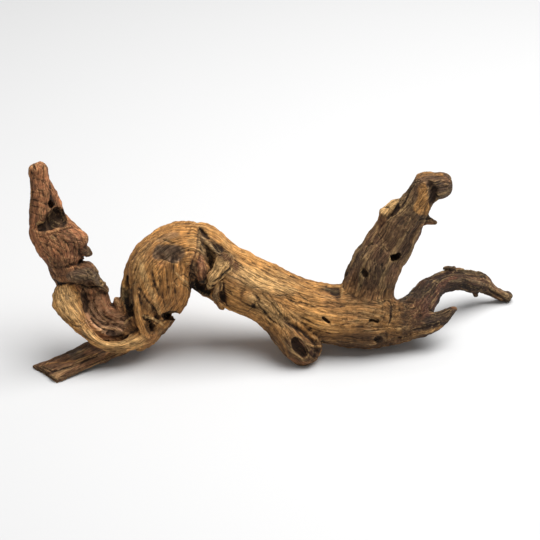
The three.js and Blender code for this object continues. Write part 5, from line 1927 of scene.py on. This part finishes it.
        # Painted shade in hollows, fine and broad, by how hollow the skin is.
        fine, broad = skin.hollowness(0), skin.hollowness(patina_and_light.broad_rounds)
        coat.lay(patina_and_light.fine_hollow_shade.hue, patina_and_light.fine_hollow_shade.cover(fine) + patina_and_light.broad_hollow_shade.cover(broad))
        # Ridges lighter: partly wear, partly painted highlight.
        coat.tint(patina_and_light.ridge_wear_and_highlight, -fine)
        return np.clip(coat.tone * self.brightness, self.darkest, 1)

    def place(self, skin: Skin) -> np.ndarray:
        """Stands the skin upright where the CAD node is, and keeps how far it was shifted.

        Args:
            skin: the finished skin.

        Returns:
            The vertices in metres, in the shared frame.
        """
        upright = SIGHT.upright(skin.points)
        upright[:, 2] = np.maximum(upright[:, 2], 0)
        low, high = (np.array(corner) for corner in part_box(NODE))
        self.shift = (low + high)[:2] / 2 / MM - (upright.min(axis=0) + upright.max(axis=0))[:2] / 2
        upright[:, :2] += self.shift
        return upright * MM

    def aim(self) -> Vector:
        """The middle of the sighting plane in the shared frame, in metres."""
        return Vector((*self.shift, -SIGHT.ground)) * MM

    def build(self) -> None:
        """Builds the wood, riding on the root body in place of the CAD node."""
        skin = self.grow()
        grain = self.read_grain(skin)
        view = FrontView(skin)
        marks = [view.lay(mark) for mark in MARKS]
        self.roughen(skin, grain, marks)
        tone = self.paint(skin, grain, marks)
        tones = np.column_stack([tone, np.ones(len(tone))])
        normals = skin.normals() @ SIGHT.turn().T
        places = self.place(skin)
        material = self.finish.build()
        for name, (used, faces) in zip(("mopani_wood_left", "mopani_wood_right"), skin.halves()):
            mesh = bpy.data.meshes.new(name)
            mesh.from_pydata(places[used], [], faces)
            mesh.polygons.foreach_set("use_smooth", np.ones(len(mesh.polygons), dtype=bool))
            colours = mesh.color_attributes.new("tone", "FLOAT_COLOR", "POINT")
            colours.data.foreach_set("color", tones[used].astype(np.float32).ravel())
            strands = mesh.attributes.new("grain", "FLOAT_VECTOR", "POINT")
            strands.data.foreach_set("vector", grain.place[used].astype(np.float32).ravel())
            mesh.update()
            mesh.normals_split_custom_set_from_vertices(normals[used])
            mesh.materials.append(material)
            self.add_piece(name, mesh)

    def add_piece(self, name: str, mesh: bpy.types.Mesh) -> None:
        """Puts a piece of the wood into the scene.

        Args:
            name: the piece's name.
            mesh: its finished mesh.
        """
        piece = bpy.data.objects.new(name, mesh)
        bpy.context.scene.collection.objects.link(piece)
        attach(piece, "root")
        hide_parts(NODE)
        log.info("piece %s: %d faces", name, len(mesh.polygons))


@dataclass(frozen=True)
class FloorFinish:
    """The plain, pale and dull floor."""

    grey: float = 0.6
    roughness: float = 0.9
    specular: float = 0.1

    def build(self) -> bpy.types.Material:
        """Makes the material.

        Returns:
            The material, ready for the floor.
        """
        material = bpy.data.materials.new("pale_floor")
        material.use_nodes = True
        shader = material.node_tree.nodes["Principled BSDF"]
        shader.inputs["Base Color"].default_value = (self.grey, self.grey, self.grey, 1)
        shader.inputs["Roughness"].default_value = self.roughness
        shader.inputs["Specular IOR Level"].default_value = self.specular
        return material


@dataclass(frozen=True)
class Softbox:
    """A square soft light: where it hangs and how long its sides are, in metres, and its power."""

    name: str
    place: tuple[float, float, float]
    size: float
    watts: float

    def build(self, target: Vector) -> None:
        """Hangs the light, facing a point.

        Args:
            target: the point, in metres.
        """
        lamp = bpy.data.lights.new(self.name, "AREA")
        lamp.size = self.size
        lamp.energy = self.watts
        light = bpy.data.objects.new(self.name, lamp)
        light.location = self.place
        light.rotation_euler = (target - Vector(self.place)).to_track_quat("-Z", "Y").to_euler()
        bpy.context.scene.collection.objects.link(light)


@dataclass
class Studio:
    """The pale floor, the soft lights and the camera at the photograph's angle.

    Its lengths are in metres, but for the camera's lens and sensor, in mm.
    """

    aim: Vector
    floor_size: float = 12.0
    floor_finish: FloorFinish = FloorFinish()
    lens: float = 160.0
    sensor: float = 36.0
    view_depth: float = 50.0
    sky_strength: float = 0.3
    lit_height: float = 0.06
    lights: tuple[Softbox, ...] = (
        Softbox("overhead_softbox", (0.5, 0.1, 1.8), 1.8, 66.0),
        Softbox("front_softbox", (-0.4, -2.2, 1.6), 1.2, 2.0),
    )

    def build_floor(self) -> None:
        """Lays the floor that the wood stands on."""
        half = self.floor_size / 2
        mesh = bpy.data.meshes.new("floor")
        corners = [(-half, -half, 0), (half, -half, 0), (half, half, 0), (-half, half, 0)]
        mesh.from_pydata(corners, [], [(0, 1, 2, 3)])
        floor = bpy.data.objects.new("floor", mesh)
        bpy.context.scene.collection.objects.link(floor)
        mesh.materials.append(self.floor_finish.build())

    def build_lights(self) -> None:
        """Sets the even sky and the soft lights."""
        world = bpy.context.scene.world or bpy.data.worlds.new("studio")
        bpy.context.scene.world = world
        world.use_nodes = True
        sky = world.node_tree.nodes["Background"]
        sky.inputs["Color"].default_value = (1, 1, 1, 1)
        sky.inputs["Strength"].default_value = self.sky_strength
        for light in self.lights:
            light.build(Vector((0, 0, self.lit_height)))

    def build_camera(self) -> None:
        """Aims the camera at the middle of the sighting plane, from the photograph's angle."""
        camera = bpy.data.cameras.new("camera")
        camera.lens = self.lens
        camera.sensor_width = self.sensor
        camera.clip_end = self.view_depth
        towards = Vector((0, -math.cos(SIGHT.elevation), math.sin(SIGHT.elevation)))
        view = bpy.data.objects.new("camera", camera)
        view.location = self.aim + SIGHT.distance * MM * towards
        view.rotation_euler = (-towards).to_track_quat("-Z", "Y").to_euler()
        bpy.context.scene.collection.objects.link(view)
        bpy.context.scene.camera = view

    def build(self) -> None:
        """Sets the whole studio up."""
        bpy.context.scene.view_settings.view_transform = "Standard"
        self.build_floor()
        self.build_lights()
        self.build_camera()


def write_sizes() -> None:
    """Updates the view layer, so that every object's place is current."""
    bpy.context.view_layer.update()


def main() -> None:
    """Builds the wood and the studio."""
    logging.basicConfig(level=logging.INFO, format="%(name)s: %(message)s")
    wood = MopaniWood()
    wood.build()
    Studio(wood.aim()).build()
    write_sizes()


if __name__ == "__main__":
    main()
